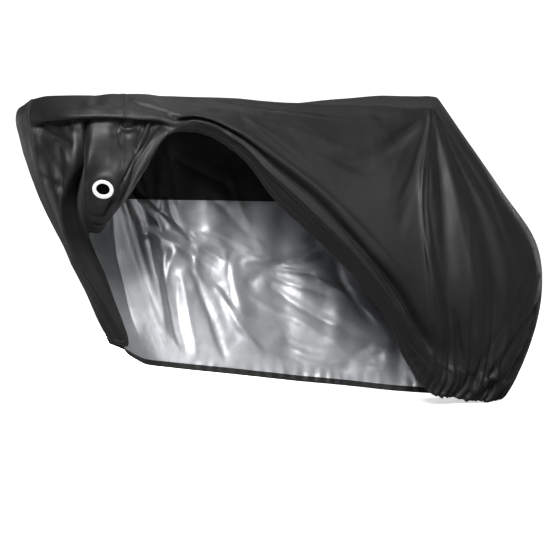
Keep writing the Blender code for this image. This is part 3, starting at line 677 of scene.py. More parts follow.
@dataclass
class Eyelet:
    """Place and sizes of the round metal eyelet in the hanging flap, in mm.

    The cloth lies flat out to one radius and is left as it was beyond another, and
    only cloth within reach of the eyelet's face is taken.
    """

    at: tuple = (-1177.8, -331.5, -349.0)
    face: tuple = (-0.2991, -0.7878, -0.5385)
    side: tuple = (0.8828, -0.4426, 0.1571)
    outer: float = 35.0
    hole: float = 22.0
    barrel: float = 25.0
    rise: float = 3.2
    clear: float = 0.35
    cloth: float = 1.5
    hole_gap: float = 0.75
    flat: float = 38.0
    free: float = 72.0
    reach: float = 60.0
    steps: int = 96

    def world(self) -> Matrix:
        """Return the eyelet's axes as a matrix, its face along Z, in metres."""
        third = np.cross(self.face, self.side)
        turn = np.array([self.side, third, self.face]).T
        return Matrix([[*turn[i], self.at[i] * MM] for i in range(3)] + [[0, 0, 0, 1]])

    def profile(self) -> list:
        """Return the closed (radius, height) outline of the pressed metal."""
        low, high, rise = -self.clear, self.cloth + self.clear, self.rise
        inner, outer = self.hole, self.outer
        middle = high + rise * 0.42
        roll = [(outer - 1.6 + 1.6 * math.cos(a), middle + 1.35 * math.sin(a))
                for a in np.radians((-70, -40, -10, 20, 50, 75))]
        lip = [(inner + 2.0 - 2.0 * math.cos(a), middle + 1.5 * math.sin(a))
               for a in np.radians((80, 55, 30, 5))]
        return [
            (inner, low - rise * 0.35), (inner + 0.6, low - rise * 0.75),
            (inner + 2.2, low - rise * 0.95), (outer - 8, low - rise * 0.9),
            (outer - 4, low - rise * 0.62), (outer - 1.2, low - rise * 0.5),
            (outer - 0.6, low - rise * 0.25), (outer - 0.8, low), (self.barrel, low),
            (self.barrel, high), (outer - 1.2, high), *roll,
            (outer - 3.6, high + rise * 0.62), (outer - 6.5, high + rise * 0.78),
            (inner + 4.4, high + rise * 0.98), (inner + 3.0, high + rise), *lip,
        ]

    def build(self) -> bpy.types.Object:
        """Spin the profile into the eyelet, in its place on the flap."""
        shape = bmesh.new()
        rim = [shape.verts.new((x * MM, 0, z * MM)) for x, z in self.profile()]
        edges = [shape.edges.new(ends) for ends in zip(rim, rim[1:] + rim[:1])]
        bmesh.ops.spin(shape, geom=rim + edges, cent=(0, 0, 0), axis=(0, 0, 1),
                       angle=2 * math.pi, steps=self.steps, use_merge=True, use_duplicate=False)
        bmesh.ops.recalc_face_normals(shape, faces=shape.faces[:])
        shape.transform(self.world())
        return made_object("eyelet", shape)

    def dress(self, piece: bpy.types.Object) -> None:
        """Give the eyelet its metal, hide the frame's eyelet ring and hang the eyelet from the
        root.
        """
        piece.data.materials.append(EyeletMetal().material())
        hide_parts("eyelet_ring")
        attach(piece, "root")

    def cut_hole(self, panel: bpy.types.Object) -> None:
        """Cut the round hole that the eyelet's barrel passes through."""
        shape = bmesh.new()
        radius = (self.barrel + self.hole_gap) * MM
        bmesh.ops.create_cone(shape, cap_ends=True, segments=48, radius1=radius, radius2=radius,
                              depth=0.03)
        shape.transform(self.world())
        cutter = made_object("hole_cutter", shape)
        cut = panel.modifiers.new("hole", "BOOLEAN")
        cut.operation, cut.solver, cut.object = "DIFFERENCE", "EXACT", cutter
        bpy.context.view_layer.update()
        graph = bpy.context.evaluated_depsgraph_get()
        mesh = bpy.data.meshes.new_from_object(panel.evaluated_get(graph))
        panel.modifiers.clear()
        panel.data = mesh
        bpy.data.objects.remove(cutter)

    def flatten(self, cloth: Cloth) -> None:
        """Make the cloth flat round the eyelet, with a soft change beyond it."""
        centre = np.array(self.at) + HELD_AT
        face = np.array(self.face)
        apart = cloth.points - centre
        high = apart @ face
        radius = np.linalg.norm(apart - high[..., None] * face, axis=-1)
        share = ramp(radius, self.free, self.flat)
        share *= (np.abs(high) < self.reach) & (cloth.side < 0)
        cloth.points -= (share * high)[..., None] * face


@dataclass
class Pattern:
    """Cuts, folds and wrinkles of the whole cover, from nose seam to rear seam.

    Columns are counted for each section, and rows for each side. The steps, the two
    fades at the cover's ends and the pitch of the pleats are in sections. The hem
    band, the far side's limit, the other pitches and the depths are in millimetres.
    """

    front_columns: int = 15
    flap_columns: int = 11
    rear_columns: int = 15
    side_rows: int = 92
    top_rows: int = 16
    hem_band: tuple = (30.0, 25.0, 22.0, 18.0, 12.0, 7.0, 3.0, 0.0)
    seam_steps: tuple = (0.03, 0.07, 0.12, 0.19)
    least_step: float = 0.028
    samples: int = 500
    end_fade: float = 0.8
    push_fade: float = 0.5
    far_limit: float = 15.0
    gather_pitch: tuple = (27.0, 17.0)
    gather_depth: float = 5.0
    pleat_pitch: tuple = (0.47, 0.29)
    pleat_depth: float = 6.5
    pucker_pitch: float = 46.0
    pucker_depth: float = 1.3
    eyelet: Eyelet = field(default_factory=Eyelet)

    @property
    def edge(self) -> int:
        """Return how many rows one side has."""
        return self.side_rows + len(self.hem_band)

    def columns(self) -> np.ndarray:
        """Return the section number of every column, closer by the seams."""
        spans = ((0, SEAM_SECTION, self.front_columns),
                 (SEAM_SECTION, REAR_SECTION, self.flap_columns),
                 (REAR_SECTION, LAST, self.rear_columns))
        even = np.concatenate([np.linspace(low, high, (high - low) * each + 1)
                               for low, high, each in spans])
        ends = ((0, 1), (SEAM_SECTION, -1), (SEAM_SECTION, 1), (LAST, -1))
        near_seam = [at + way * step for at, way in ends for step in self.seam_steps]
        grid = [c for c in even if min(abs(c - s) for s in near_seam) > self.least_step]
        return np.unique(np.round([*grid, *near_seam, 0, SEAM_SECTION, LAST], 6))

    def side(self, marks: np.ndarray) -> tuple:
        """Lay the rows of one side of one column.

        Args:
            marks: the column's marks, from its top to its hem.

        Returns:
            Points, mark numbers and distances from the hem, from the top down.
        """
        knots = chord_knots(marks)
        fine = np.linspace(0, knots[-1], self.samples)
        run = chord_knots(spline(marks, knots, fine))
        numbers = np.interp(fine, knots, np.arange(len(knots)))
        share = 0.5 * numbers / numbers[-1] + 0.5 * run / run[-1]
        start = np.interp(run[-1] - self.hem_band[0], run, share)
        upper = np.interp(np.linspace(0, start, self.side_rows + 1), share, fine)
        lower = np.interp(run[-1] - np.array(self.hem_band[1:]), run, fine)
        at = np.concatenate([upper, lower])
        from_hem = run[-1] - np.interp(at, fine, run)
        return spline(marks, knots, at), np.interp(at, fine, numbers), from_hem

    def laid(self, marks: np.ndarray) -> tuple:
        """Lay the rows of one side of every column, as stacked arrays."""
        return tuple(np.array(part) for part in zip(*(self.side(m) for m in marks)))

    def base(self) -> Cloth:
        """Return the cloth with its main folds, before any fine crease."""
        columns = self.columns()
        near_all, far_all = near_marks(), far_marks()
        steps = np.linalg.norm(np.diff(near_all, axis=0), axis=2).mean(axis=1)
        knots = np.concatenate([[0.0], np.cumsum(steps)])
        tops = np.stack([near_all[:, 0], top_middles(), far_all[:, 0]], axis=1)
        near, near_mark, near_hem = self.laid(along_sections(near_all, knots, columns))
        far, far_mark, far_hem = self.laid(along_sections(far_all, knots, columns))
        top = along_sections(tops, knots, columns)
        section = np.repeat(columns[:, None], near_mark.shape[1], axis=1)
        still = np.clip((LAST - section) / self.end_fade, 0, 1)
        still *= np.clip(section / self.end_fade, 0, 1)
        pushed = fold_offsets(DOWN_FOLDS, section, near_mark)
        pushed += fold_offsets(ALONG_FOLDS, section, near_mark, along=True)
        near += side_facing(near) * (pushed * still)[..., None]
        pushed = -fold_offsets(FAR_FOLDS, section, far_mark)
        far += side_facing(far) * (pushed * still)[..., None]
        share = np.linspace(0, 2, self.top_rows + 1)[1:-1]
        crown = np.array([spline(m, np.array([0.0, 1.0, 2.0]), share) for m in top])
        flat = np.zeros(crown.shape[:2])
        return Cloth(
            points=np.concatenate([near[:, ::-1], crown, far], axis=1),
            section=np.repeat(columns[:, None], near.shape[1] * 2 + crown.shape[1], axis=1),
            mark=np.concatenate([near_mark[:, ::-1], flat, far_mark], axis=1),
            side=np.concatenate([near_mark * 0 - 1, flat, far_mark * 0 + 1], axis=1),
            from_hem=np.concatenate([near_hem[:, ::-1], flat + FAR_OFF, far_hem], axis=1),
        )

    def crown(self, cloth: Cloth) -> slice:
        """Return the rows that meet in one point at the rear seam."""
        return slice(self.edge - 1, cloth.points.shape[1] - self.edge + 1)

    def path_points(self, cloth: Cloth, path: tuple, far: bool) -> np.ndarray:
        """Find the places on one side of a path of (section, mark) points."""
        rows = np.s_[-self.edge:] if far else np.s_[self.edge - 1::-1]
        columns, places = cloth.section[:, 0], []
        for section, mark in path:
            after = int(np.clip(np.searchsorted(columns, section), 1, len(columns) - 1))
            low, high = columns[after - 1], columns[after]
            share = np.clip((section - low) / (high - low), 0, 1)
            ends = []
            for column in (after - 1, after):
                marks, points = cloth.mark[column, rows], cloth.points[column, rows]
                ends.append(np.array([np.interp(mark, marks, points[:, k]) for k in range(3)]))
            places.append((1 - share) * ends[0] + share * ends[1])
        return np.array(places)

    def creases(self, cloth: Cloth, creases: tuple, far: bool = False) -> np.ndarray:
        """Return the push of the fine creases of one side.

        Args:
            cloth: the cloth that they crease.
            creases: their lines, widths and depths.
            far: whether they lie on the far side.

        Returns:
            The push at each point, in millimetres.
        """
        start, end_share = 32, 0.22  # a crease sets in over so many mm and dies out over a share
        total = np.zeros(cloth.mark.shape)
        for crease in creases:
            corners = self.path_points(cloth, crease.path, far)
            runs = np.linspace(0, 1, 6 * len(corners))
            knots = chord_knots(corners)
            line = spline(corners, knots, runs * knots[-1])
            inside = np.all((cloth.points > line.min(axis=0) - 4 * crease.width)
                            & (cloth.points < line.max(axis=0) + 4 * crease.width), axis=-1)
            inside &= cloth.side > 0 if far else cloth.side < 0
            points = cloth.points[inside]
            nearest, place = np.full(len(points), 1e9), np.zeros(len(points))
            for k in range(len(line) - 1):
                step = line[k + 1] - line[k]
                share = np.clip((points - line[k]) @ step / max(step @ step, 1e-9), 0, 1)
                away = np.linalg.norm(points - line[k] - share[:, None] * step, axis=1)
                closer = away < nearest
                nearest[closer] = away[closer]
                place[closer] = (runs[k] + share * (runs[k + 1] - runs[k]))[closer]
            fade = ramp(place * knots[-1], 0, start) * ramp(place, 1, 1 - end_share)
            total[inside] += crease.depth * fade * crease_shape(nearest / crease.width)
        return total

    def wrinkles(self, cloth: Cloth) -> np.ndarray:
        """Return the push of the small wrinkles of the near side and the top."""
        places, section, mark = cloth.points, cloth.section, cloth.mark
        front_low = ramp(section, 9, 6) * ramp(mark, 3, 4)
        drawn = eased(1 - np.abs(mark - 3.4) / 1.6) * ramp(section, 10, 12)
        pushed = sum(layer.at(places) for layer in NEAR_DRAPE) * (0.55 + 0.6 * front_low)
        pushed += np.maximum(NEAR_RIDGES.at(places), 0) * (0.35 + 2.2 * front_low + drawn)
        pushed *= 1 - 0.8 * ramp(section, 10, 7) * ramp(mark, 3.6, 2.8)
        on_top = cloth.side == 0
        top = sum(layer.at(places) for layer in TOP_DRAPE) + TOP_SAG.at(places) * on_top
        top *= 0.3 + 0.7 * ramp(section, 8, 13)
        top_share = np.where(on_top, 1.0, ramp(mark, 0.5, 0))
        return np.where(cloth.side <= 0, pushed * (1 - 0.6 * top_share) + top * top_share, 0)

    def crumple(self, cloth: Cloth) -> np.ndarray:
        """Return the push of the crumpled far side, whose lining shows."""
        sway = np.stack([layer.at(cloth.points) for layer in FAR_SWAY], axis=-1)
        pushed = sum(layer.at(cloth.points + sway) for layer in FAR_DRAPE)
        share = np.where(cloth.side > 0, ramp(cloth.mark, 0, 1.2), 0)
        rear = ramp(cloth.section, LAST, LAST - 2.5)
        hem = ramp(cloth.from_hem, 60, 0)
        return pushed * share * (0.35 + 0.65 * rear) * (1 - 0.5 * hem)

    def ruffles(self, cloth: Cloth) -> np.ndarray:
        """Return the push of the gathers that the elastic draws in at the rear."""
        sway = GATHER_SWAY.at(cloth.points)
        wide, narrow = (2 * math.pi * cloth.hem_run() / pitch for pitch in self.gather_pitch)
        wave = np.cos(wide + 1.1 * sway) + 0.45 * np.cos(narrow + 2.0 * sway)
        start = np.where(cloth.side > 0, 19.0, 17.2)
        reach = ramp(cloth.section, start, start + 1.2) * (0.75 + 0.25 * sway)
        swell = ramp(cloth.from_hem, 150, 20) * (0.55 + 0.45 * ramp(cloth.from_hem, 4, 26))
        return np.where(cloth.side != 0, wave * reach * swell * self.gather_depth, 0)

    def pleats(self, cloth: Cloth) -> np.ndarray:
        """Return the push of the pleats that fan up from the rear gather."""
        sway = PLEAT_SWAY.at(cloth.points)
        wide, narrow = (cloth.section / pitch for pitch in self.pleat_pitch)
        wave = 2 * np.abs(np.sin(math.pi * (wide + 0.55 * sway))) - 1
        wave += 0.5 * np.cos(2 * math.pi * (narrow + 0.4 * sway))
        reach = ramp(cloth.section, 17.3, 18.2) * ramp(cloth.section, 22.2, 20.6)
        swell = ramp(cloth.mark - 0.35 * sway, 1.95, 2.95) * (0.75 + 0.6 * sway)
        return np.where(cloth.side < 0, wave * reach * swell * self.pleat_depth, 0)

    def puckers(self, cloth: Cloth) -> np.ndarray:
        """Return the push of the small puckers along the sewn hem."""
        sway = PUCKER_SWAY.at(cloth.points)
        wave = np.cos(2 * math.pi * cloth.hem_run() / self.pucker_pitch + 3.0 * sway)
        band = ramp(cloth.from_hem, 70, 20) * ramp(cloth.section, 7, 10) * (0.8 + sway)
        return np.where(cloth.side != 0, wave * band * self.pucker_depth, 0)

    def whole(self) -> Cloth:
        """Return the cloth of the whole cover with all its folds."""
        cloth = self.base()
        crown = self.crown(cloth)
        cloth.measure()
        cloth.facing = outward(cloth.points, crown)
        nose = np.clip(cloth.section / self.push_fade, 0, 1)
        rear = np.clip((LAST - cloth.section) / self.push_fade, 0, 1)
        near = sum((scatter.creases() for scatter in NEAR_SCATTER), CREASES)
        far = sum((scatter.creases() for scatter in FAR_SCATTER), FAR_CREASES)
        inward = self.creases(cloth, far, far=True)
        offsets = self.creases(cloth, near) + np.tanh(inward / self.far_limit) * self.far_limit
        offsets = (offsets + self.wrinkles(cloth) + self.crumple(cloth)) * rear
        offsets += self.ruffles(cloth) + self.pleats(cloth) + self.puckers(cloth)
        cloth.push(offsets * nose)
        self.eyelet.flatten(cloth)
        cloth.facing = outward(cloth.points, crown)
        cloth.measure()
        return cloth

    def strip(self, whole: Cloth) -> Cloth:
        """Return the narrow front strip, sewn between the nose seam and the far side."""
        edge, start = self.edge, whole.points[0]
        near, far = start[:edge][::-1], start[-edge:]
        middle, numbers, hem = self.side(np.array(STRIP_MIDDLE, float))
        share, knots = np.linspace(0, 2, self.top_rows + 1), np.array([0.0, 1.0, 2.0])
        rows = zip(far, middle, near)
        grid = np.array([spline(np.array(row), knots, share) for row in rows]).transpose(1, 0, 2)
        grid[:, 0] = start[self.crown(whole)][::-1]
        cloth = Cloth(
            points=grid,
            section=np.repeat(share[:, None], edge, axis=1),
            mark=np.repeat(numbers[None], len(share), axis=0),
            side=np.full(grid.shape[:2], -1.0),
            from_hem=np.repeat(hem[None], len(share), axis=0),
        )
        cloth.measure()
        cloth.facing = -outward(grid)
        inside = (ramp(share, 0, 0.5) * ramp(share, 2, 1.5))[:, None] * ramp(cloth.mark, 0, 0.6)
        pushed = STRIP_DRAPE.at(grid) + np.maximum(STRIP_RIDGES.at(grid), 0)
        cloth.push(pushed * inside)
        cloth.facing = -outward(cloth.points)
        return cloth


def made_object(name: str, shape: bmesh.types.BMesh) -> bpy.types.Object:
    """Turn a finished bmesh into a smooth object at the origin."""
    for face in shape.faces:
        face.smooth = True
    mesh = bpy.data.meshes.new(name)
    shape.to_mesh(mesh)
    shape.free()
    thing = bpy.data.objects.new(name, mesh)
    bpy.context.scene.collection.objects.link(thing)
    return thing


class Lay(Enum):
    """Which face of the cloth a polygon belongs to."""

    OUTSIDE = 0
    LINING = 1


@dataclass
class Panel:
    """One sewn panel: a sheet of coated cloth with its lining, hems and seams."""

    name: str
    node: str
    cloth_slot: str
    flat: tuple
    area: float
    cloth: Cloth
    seams: tuple = ()
    closed: bool = False
    thick: float = 1.5
    hem_lift: float = 1.3
    hem_groove: float = 0.7
    seam_lift: float = 0.9
    seam_groove: float = 0.5
    tunnel: float = 22.0

    def thickness(self) -> np.ndarray:
        """Return the cloth's thickness at each point, with hems and seams raised."""
        cloth = self.cloth
        total = np.full(cloth.mark.shape, self.thick)
        total += self.hem_lift * ramp(cloth.from_hem, self.tunnel + 2.5, self.tunnel - 1.0)
        total -= self.hem_groove * bell(cloth.from_hem, self.tunnel, 2.2)
        for edge in self.seams:
            away = np.abs(cloth.along - cloth.along[edge][None])
            total += self.seam_lift * ramp(away, 11, 7) * ramp(away, 0, 1.5)
            total -= self.seam_groove * bell(away, 12, 3)
        return total

    def measures(self) -> dict:
        """Return each point's distances from hem and seams and its way along and down, in m."""
        cloth = self.cloth
        seam = np.full(cloth.mark.shape, FAR_OFF)
        for edge in self.seams or (-1,):
            seam = np.minimum(seam, np.abs(cloth.along - cloth.along[edge][None]))
        values = {"from_hem": cloth.from_hem, "from_seam": seam,
                  "along": cloth.along, "down": cloth.down}
        return {key: value.reshape(-1) * MM for key, value in values.items()}

    def build(self) -> bpy.types.Object:
        """Lay the grid, sew its rear seam, and give it thickness and lining."""
        cloth, flat = self.cloth, self.measures()
        columns, rows = cloth.mark.shape
        shape = bmesh.new()
        uv = shape.loops.layers.uv.new("cloth")
        grow = shape.verts.layers.float_vector.new("grow")
        kept = {name: shape.verts.layers.float.new(name) for name in flat}
        bmesh.ops.create_grid(shape, x_segments=rows - 1, y_segments=columns - 1, size=1.0)
        shape.verts.ensure_lookup_table()
        points = ((cloth.points - HELD_AT) * MM).reshape(-1, 3)
        growth = (cloth.facing * self.thickness()[..., None] * MM).reshape(-1, 3)
        for index, vert in enumerate(shape.verts):
            vert.co = points[index]
            vert[grow] = growth[index]
            for key, layer in kept.items():
                vert[layer] = flat[key][index]
        for face in shape.faces:
            for loop in face.loops:
                number = loop.vert.index
                loop[uv].uv = (flat["along"][number], flat["down"][number])
        if self.closed:
            bmesh.ops.remove_doubles(shape, verts=shape.verts[-rows:], dist=MERGE)
        inner = shape.faces[:]
        bmesh.ops.recalc_face_normals(shape, faces=inner)
        grown = bmesh.ops.extrude_face_region(shape, geom=inner)
        for item in grown["geom"]:
            if isinstance(item, bmesh.types.BMVert):
                item.co += item[grow]
        bmesh.ops.recalc_face_normals(shape, faces=shape.faces[:])
        limit = self.tunnel * MM - MERGE
        for face in inner:
            if min(vert[kept["from_hem"]] for vert in face.verts) >= limit:
                face.material_index = Lay.LINING.value
        return made_object(self.name, shape)

    def dress(
        self, piece: bpy.types.Object, outside: bpy.types.Material, lining: bpy.types.Material
    ) -> None:
        """Give the panel its finishes, hide the frame part that it replaces and hang it from the
        root.

        Args:
            piece: the panel's object.
            outside: the coated black face.
            lining: the silver inner face.
        """
        piece.data.materials.append(outside)
        piece.data.materials.append(lining)
        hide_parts(self.node)
        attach(piece, "root")


class Cloud(NamedTuple):
    """A soft noise: how many to the metre, its detail and its roughness."""

    scale: float
    detail: float
    rough: float


@dataclass
class Wiring:
    """A material whose nodes are added and joined in a few words."""

    name: str

    def __post_init__(self) -> None:
        """Start the material with its one Principled shader."""
        self.material = bpy.data.materials.new(self.name)
        self.material.use_nodes = True
        self.tree = self.material.node_tree
        self.shader = self.tree.nodes["Principled BSDF"]

    def feed(self, socket: bpy.types.NodeSocket, value: Any) -> None:
        """Join a socket to another one, or set its value."""
        if isinstance(value, bpy.types.NodeSocket):
            self.tree.links.new(value, socket)
        else:
            socket.default_value = value

    def node(self, kind: str, inputs: dict | None = None, **settings: Any) -> bpy.types.Node:
        """Add a node.

        Args:
            kind: the node's type, without its ShaderNode prefix.
            inputs: values or sockets for its inputs, by name or number.
            settings: its own properties.

        Returns:
            The new node.
        """
        made = self.tree.nodes.new("ShaderNode" + kind)
        for key, value in settings.items():
            setattr(made, key, value)
        for key, value in (inputs or {}).items():
            self.feed(made.inputs[key], value)
        return made

    def maths(self, operation: str, *values: Any) -> bpy.types.NodeSocket:
        """Return the result of one Math node."""
        return self.node("Math", dict(enumerate(values)), operation=operation).outputs[0]

    def most(self, values: list) -> bpy.types.NodeSocket:
        """Return the greatest of several values."""
        total = values[0]
        for value in values[1:]:
            total = self.maths("MAXIMUM", total, value)
        return total

    def span(
        self, value: Any, low: float, high: float, start: float, end: float
    ) -> bpy.types.NodeSocket:
        """Return a value smoothly carried over from one span to another."""
        inputs = {"Value": value, "From Min": low, "From Max": high, "To Min": start, "To Max": end}
        return self.node("MapRange", inputs, interpolation_type="SMOOTHSTEP").outputs["Result"]

    def mix(self, share: Any, low: Any, high: Any) -> bpy.types.NodeSocket:
        """Return a colour between two, each given as three numbers or a socket."""
        made = self.node("Mix", {0: share}, data_type="RGBA")
        for number, colour in ((6, low), (7, high)):
            joined = isinstance(colour, bpy.types.NodeSocket)
            self.feed(made.inputs[number], colour if joined else (*colour, 1.0))
        return made.outputs[2]

    def place(self) -> bpy.types.NodeSocket:
        """Return the place on the object."""
        return self.node("TexCoord").outputs["Object"]

    def cloud(self, place: Any, cloud: Cloud) -> bpy.types.NodeSocket:
        """Return a soft noise read at a place."""
        inputs = {"Vector": place, "Scale": cloud.scale, "Detail": cloud.detail,
                  "Roughness": cloud.rough}
        return self.node("TexNoise", inputs).outputs["Fac"]

    def bump(self, height: Any, depth: float, under: Any = None) -> bpy.types.NodeSocket:
        """Return a normal raised by a height of 0 to 1, depth metres tall."""
        inputs = {"Height": height, "Distance": depth, "Strength": 1.0}
        if under is not None:
            inputs["Normal"] = under
        return self.node("Bump", inputs).outputs["Normal"]

    def settle(self, **values: Any) -> bpy.types.Material:
        """Set the shader's inputs, named with underscores, and return the material."""
        for key, value in values.items():
            self.feed(self.shader.inputs[key.replace("_", " ")], value)
        return self.material


@dataclass(frozen=True)
class ClothFinish:
    """What the two faces of the cloth share: weave, stitches and creasing."""

    weave: float = 1 / 0.0009
    stitch: float = 0.0042
    stitch_width: float = 0.0009
    groove_width: float = 0.0028
    hem_lines: tuple = (0.0055, 0.0215)
    seam_lines: tuple = (0.0028, 0.0075)

    def weave_height(self, w: Wiring) -> bpy.types.NodeSocket:
        """Return the height of a fine plain weave on the cloth's own UV map."""
        place = w.node("UVMap", uv_map="cloth").outputs["UV"]
        split = w.node("SeparateXYZ", {0: place}).outputs
        turns = [w.maths("MULTIPLY", split[k], 2 * math.pi * self.weave) for k in (0, 1)]
        waves = [w.maths("SINE", turn) for turn in turns]
        return w.maths("MULTIPLY_ADD", w.maths("MULTIPLY", *waves), 0.5, 0.5)

    def read(self, w: Wiring, name: str) -> bpy.types.NodeSocket:
        """Return one of the panel's measures, in metres."""
        return w.node("Attribute", attribute_name=name, attribute_type="GEOMETRY").outputs["Fac"]

    def line(self, w: Wiring, distance: Any, at: float, width: float) -> bpy.types.NodeSocket:
        """Return 1 on a thin line at a distance from an edge, and 0 off it."""
        away = w.maths("ABSOLUTE", w.maths("SUBTRACT", distance, at))
        return w.span(away, width * 0.35, width, 1.0, 0.0)

    def stitches(self, w: Wiring) -> bpy.types.NodeSocket:
        """Return 1 on the thread of the sewn rows along hems and seams."""
        rows = []
        for name, run, lines in (("from_hem", "along", self.hem_lines),
                                 ("from_seam", "down", self.seam_lines)):
            step = w.maths("FRACT", w.maths("DIVIDE", self.read(w, run), self.stitch))
            away = w.maths("ABSOLUTE", w.maths("SUBTRACT", step, 0.5))
            dash, distance = w.span(away, 0.30, 0.44, 1.0, 0.0), self.read(w, name)
            rows += [w.maths("MULTIPLY", self.line(w, distance, at, self.stitch_width), dash)
                     for at in lines]
        return w.most(rows)

    def pulled_in(self, w: Wiring, depth: float, under: Any) -> bpy.types.NodeSocket:
        """Return a normal that the sewn rows pull in, depth metres deep."""
        rows = [self.line(w, self.read(w, name), at, self.groove_width)
                for name, lines in (("from_hem", self.hem_lines), ("from_seam", self.seam_lines))
                for at in lines]
        return w.bump(w.maths("MULTIPLY", w.most(rows), -1.0), depth, under)


@dataclass(frozen=True)
class BlackFace(ClothFinish):
    """Black coated taffeta: a soft satin with small creases and worn folds."""

    colour: tuple = (0.0095, 0.0095, 0.0100)
    faded: tuple = (0.0130, 0.0130, 0.0138)
    thread: tuple = (0.028, 0.028, 0.029)
    worn: tuple = (0.021, 0.021, 0.022)
    fading: Cloud = Cloud(3.2, 4.0, 0.55)
    scuffs: Cloud = Cloud(46.0, 5.0, 0.65)
    dullness: Cloud = Cloud(9.0, 4.0, 0.6)
    drawn: Cloud = Cloud(38.0, 4.0, 0.6)
    drawn_scale: tuple = (1.0, 1.0, 0.35)
    swells: Cloud = Cloud(7.0, 2.0, 0.5)

    def material(self) -> bpy.types.Material:
        """Wire the black outer face."""
        w = Wiring("black_cloth")
        place, thread = w.place(), self.stitches(w)
        fade = w.span(w.cloud(place, self.fading), 0.3, 0.7, 0.0, 1.0)
        scuff = w.span(w.cloud(place, self.scuffs), 0.56, 0.78, 0.0, 0.35)
        base = w.mix(scuff, w.mix(fade, self.colour, self.faded), self.worn)
        drawn = w.node("Mapping", {"Vector": place, "Scale": self.drawn_scale}).outputs[0]
        normal = w.bump(self.weave_height(w), 0.00006)
        normal = w.bump(w.cloud(drawn, self.drawn), 0.0009, normal)
        normal = w.bump(w.cloud(place, self.swells), 0.0030, normal)
        normal = w.bump(thread, 0.0004, self.pulled_in(w, 0.0005, normal))
        return w.settle(
            Base_Color=w.mix(thread, base, self.thread),
            Roughness=w.span(w.cloud(place, self.dullness), 0.3, 0.7, 0.49, 0.61),
            Normal=normal,
            Sheen_Weight=0.03,
            Sheen_Roughness=0.45,
            Specular_IOR_Level=0.38,
        )


@dataclass(frozen=True)
class SilverLiningAndPaintedShade(ClothFinish):
    """Silver coating inside, with painted shade: over a set height the inner face is painted near
    black, standing in for the shadow over the upper inside.
    """

    colour: tuple = (0.44, 0.45, 0.465)
    dull: tuple = (0.33, 0.34, 0.355)
    # Painted shade: the near black colour, the height where it starts and its blur, with which the
    # upper inside is painted dark as if in shadow, with its own roughness.
    painted_shade: tuple = (0.007, 0.007, 0.0075)
    shade_line_height: float = -0.352
    shade_line_blur: float = 0.001
    metallic: float = 0.6
    painted_shade_rough: float = 0.25
    dulling: Cloud = Cloud(5.0, 5.0, 0.6)
    dullness: Cloud = Cloud(12.0, 3.0, 0.5)
    crinkles: Cloud = Cloud(26.0, 3.0, 0.5)
    swells: Cloud = Cloud(8.0, 2.0, 0.5)

    def material(self) -> bpy.types.Material:
        """Wire the inner face."""
        w = Wiring("silver_lining_and_painted_shade")
        place = w.place()
        dull = w.span(w.cloud(place, self.dulling), 0.38, 0.72, 0.0, 0.8)
        height = w.node("SeparateXYZ", {0: place}).outputs[2]
        # Painted shade: the inner face turns near black over the shade line's height, in place of
        # the shadow over the upper inside.
        above = w.span(height, self.shade_line_height - self.shade_line_blur,
                       self.shade_line_height + self.shade_line_blur, 0.0, 1.0)
        rough = w.span(w.cloud(place, self.dullness), 0.3, 0.7, 0.33, 0.45)
        normal = w.bump(self.weave_height(w), 0.00005)
        normal = w.bump(w.cloud(place, self.crinkles), 0.0012, normal)
        normal = w.bump(w.cloud(place, self.swells), 0.0050, normal)
        return w.settle(
            Base_Color=w.mix(above, w.mix(dull, self.colour, self.dull), self.painted_shade),
            Roughness=w.maths("MULTIPLY_ADD", above, self.painted_shade_rough, rough),
            Normal=self.pulled_in(w, 0.0004, normal),
            Metallic=w.maths("MULTIPLY", w.maths("SUBTRACT", 1.0, above), self.metallic),
        )


@dataclass(frozen=True)
class EyeletMetal:
    """Pale satin metal of the eyelet, with faint turning marks and wear."""

    colour: tuple = (0.92, 0.92, 0.93)
    dull: tuple = (0.70, 0.71, 0.73)
    metallic: float = 0.45
    wear: Cloud = Cloud(160.0, 4.0, 0.6)
    dullness: Cloud = Cloud(420.0, 3.0, 0.6)
    marks: Cloud = Cloud(900.0, 2.0, 0.5)

    def material(self) -> bpy.types.Material:
        """Wire the eyelet's metal."""
        w = Wiring("eyelet_metal")
        place = w.place()
        wear = w.span(w.cloud(place, self.wear), 0.45, 0.75, 0.0, 0.6)
        return w.settle(
            Base_Color=w.mix(wear, self.colour, self.dull),
            Roughness=w.span(w.cloud(place, self.dullness), 0.3, 0.7, 0.24, 0.40),
            Normal=w.bump(w.cloud(place, self.marks), 0.00006),
            Metallic=self.metallic,
        )


class Lamp(NamedTuple):
    """A square soft light: its place and aim and its side in metres, and its power."""

    name: str
    at: tuple
    to: tuple
    size: float
    watts: float


LAMPS = (
    Lamp("key", (-2.9, -5.0, 2.1), (-0.4, 0, -0.4), 1.7, 600),
    Lamp("top", (0.2, 0.4, 4.4), (0, 0, -0.4), 3.0, 70),
    Lamp("fill", (2.6, -4.6, 1.4), (0.0, 0, -0.6), 2.0, 60),
    Lamp("low", (-1.3, -4.9, -0.4), (-0.4, 0.2, -0.4), 2.4, 26),
    Lamp("back", (0.9, 5.6, -0.25), (-0.4, 0.2, -0.5), 1.4, 260),
    Lamp("tail", (3.8, 3.8, -0.2), (0.3, 0.0, -0.5), 1.4, 34),
    Lamp("nose", (-4.2, 4.0, -0.1), (-1.2, 0.1, -0.4), 1.4, 26),
)


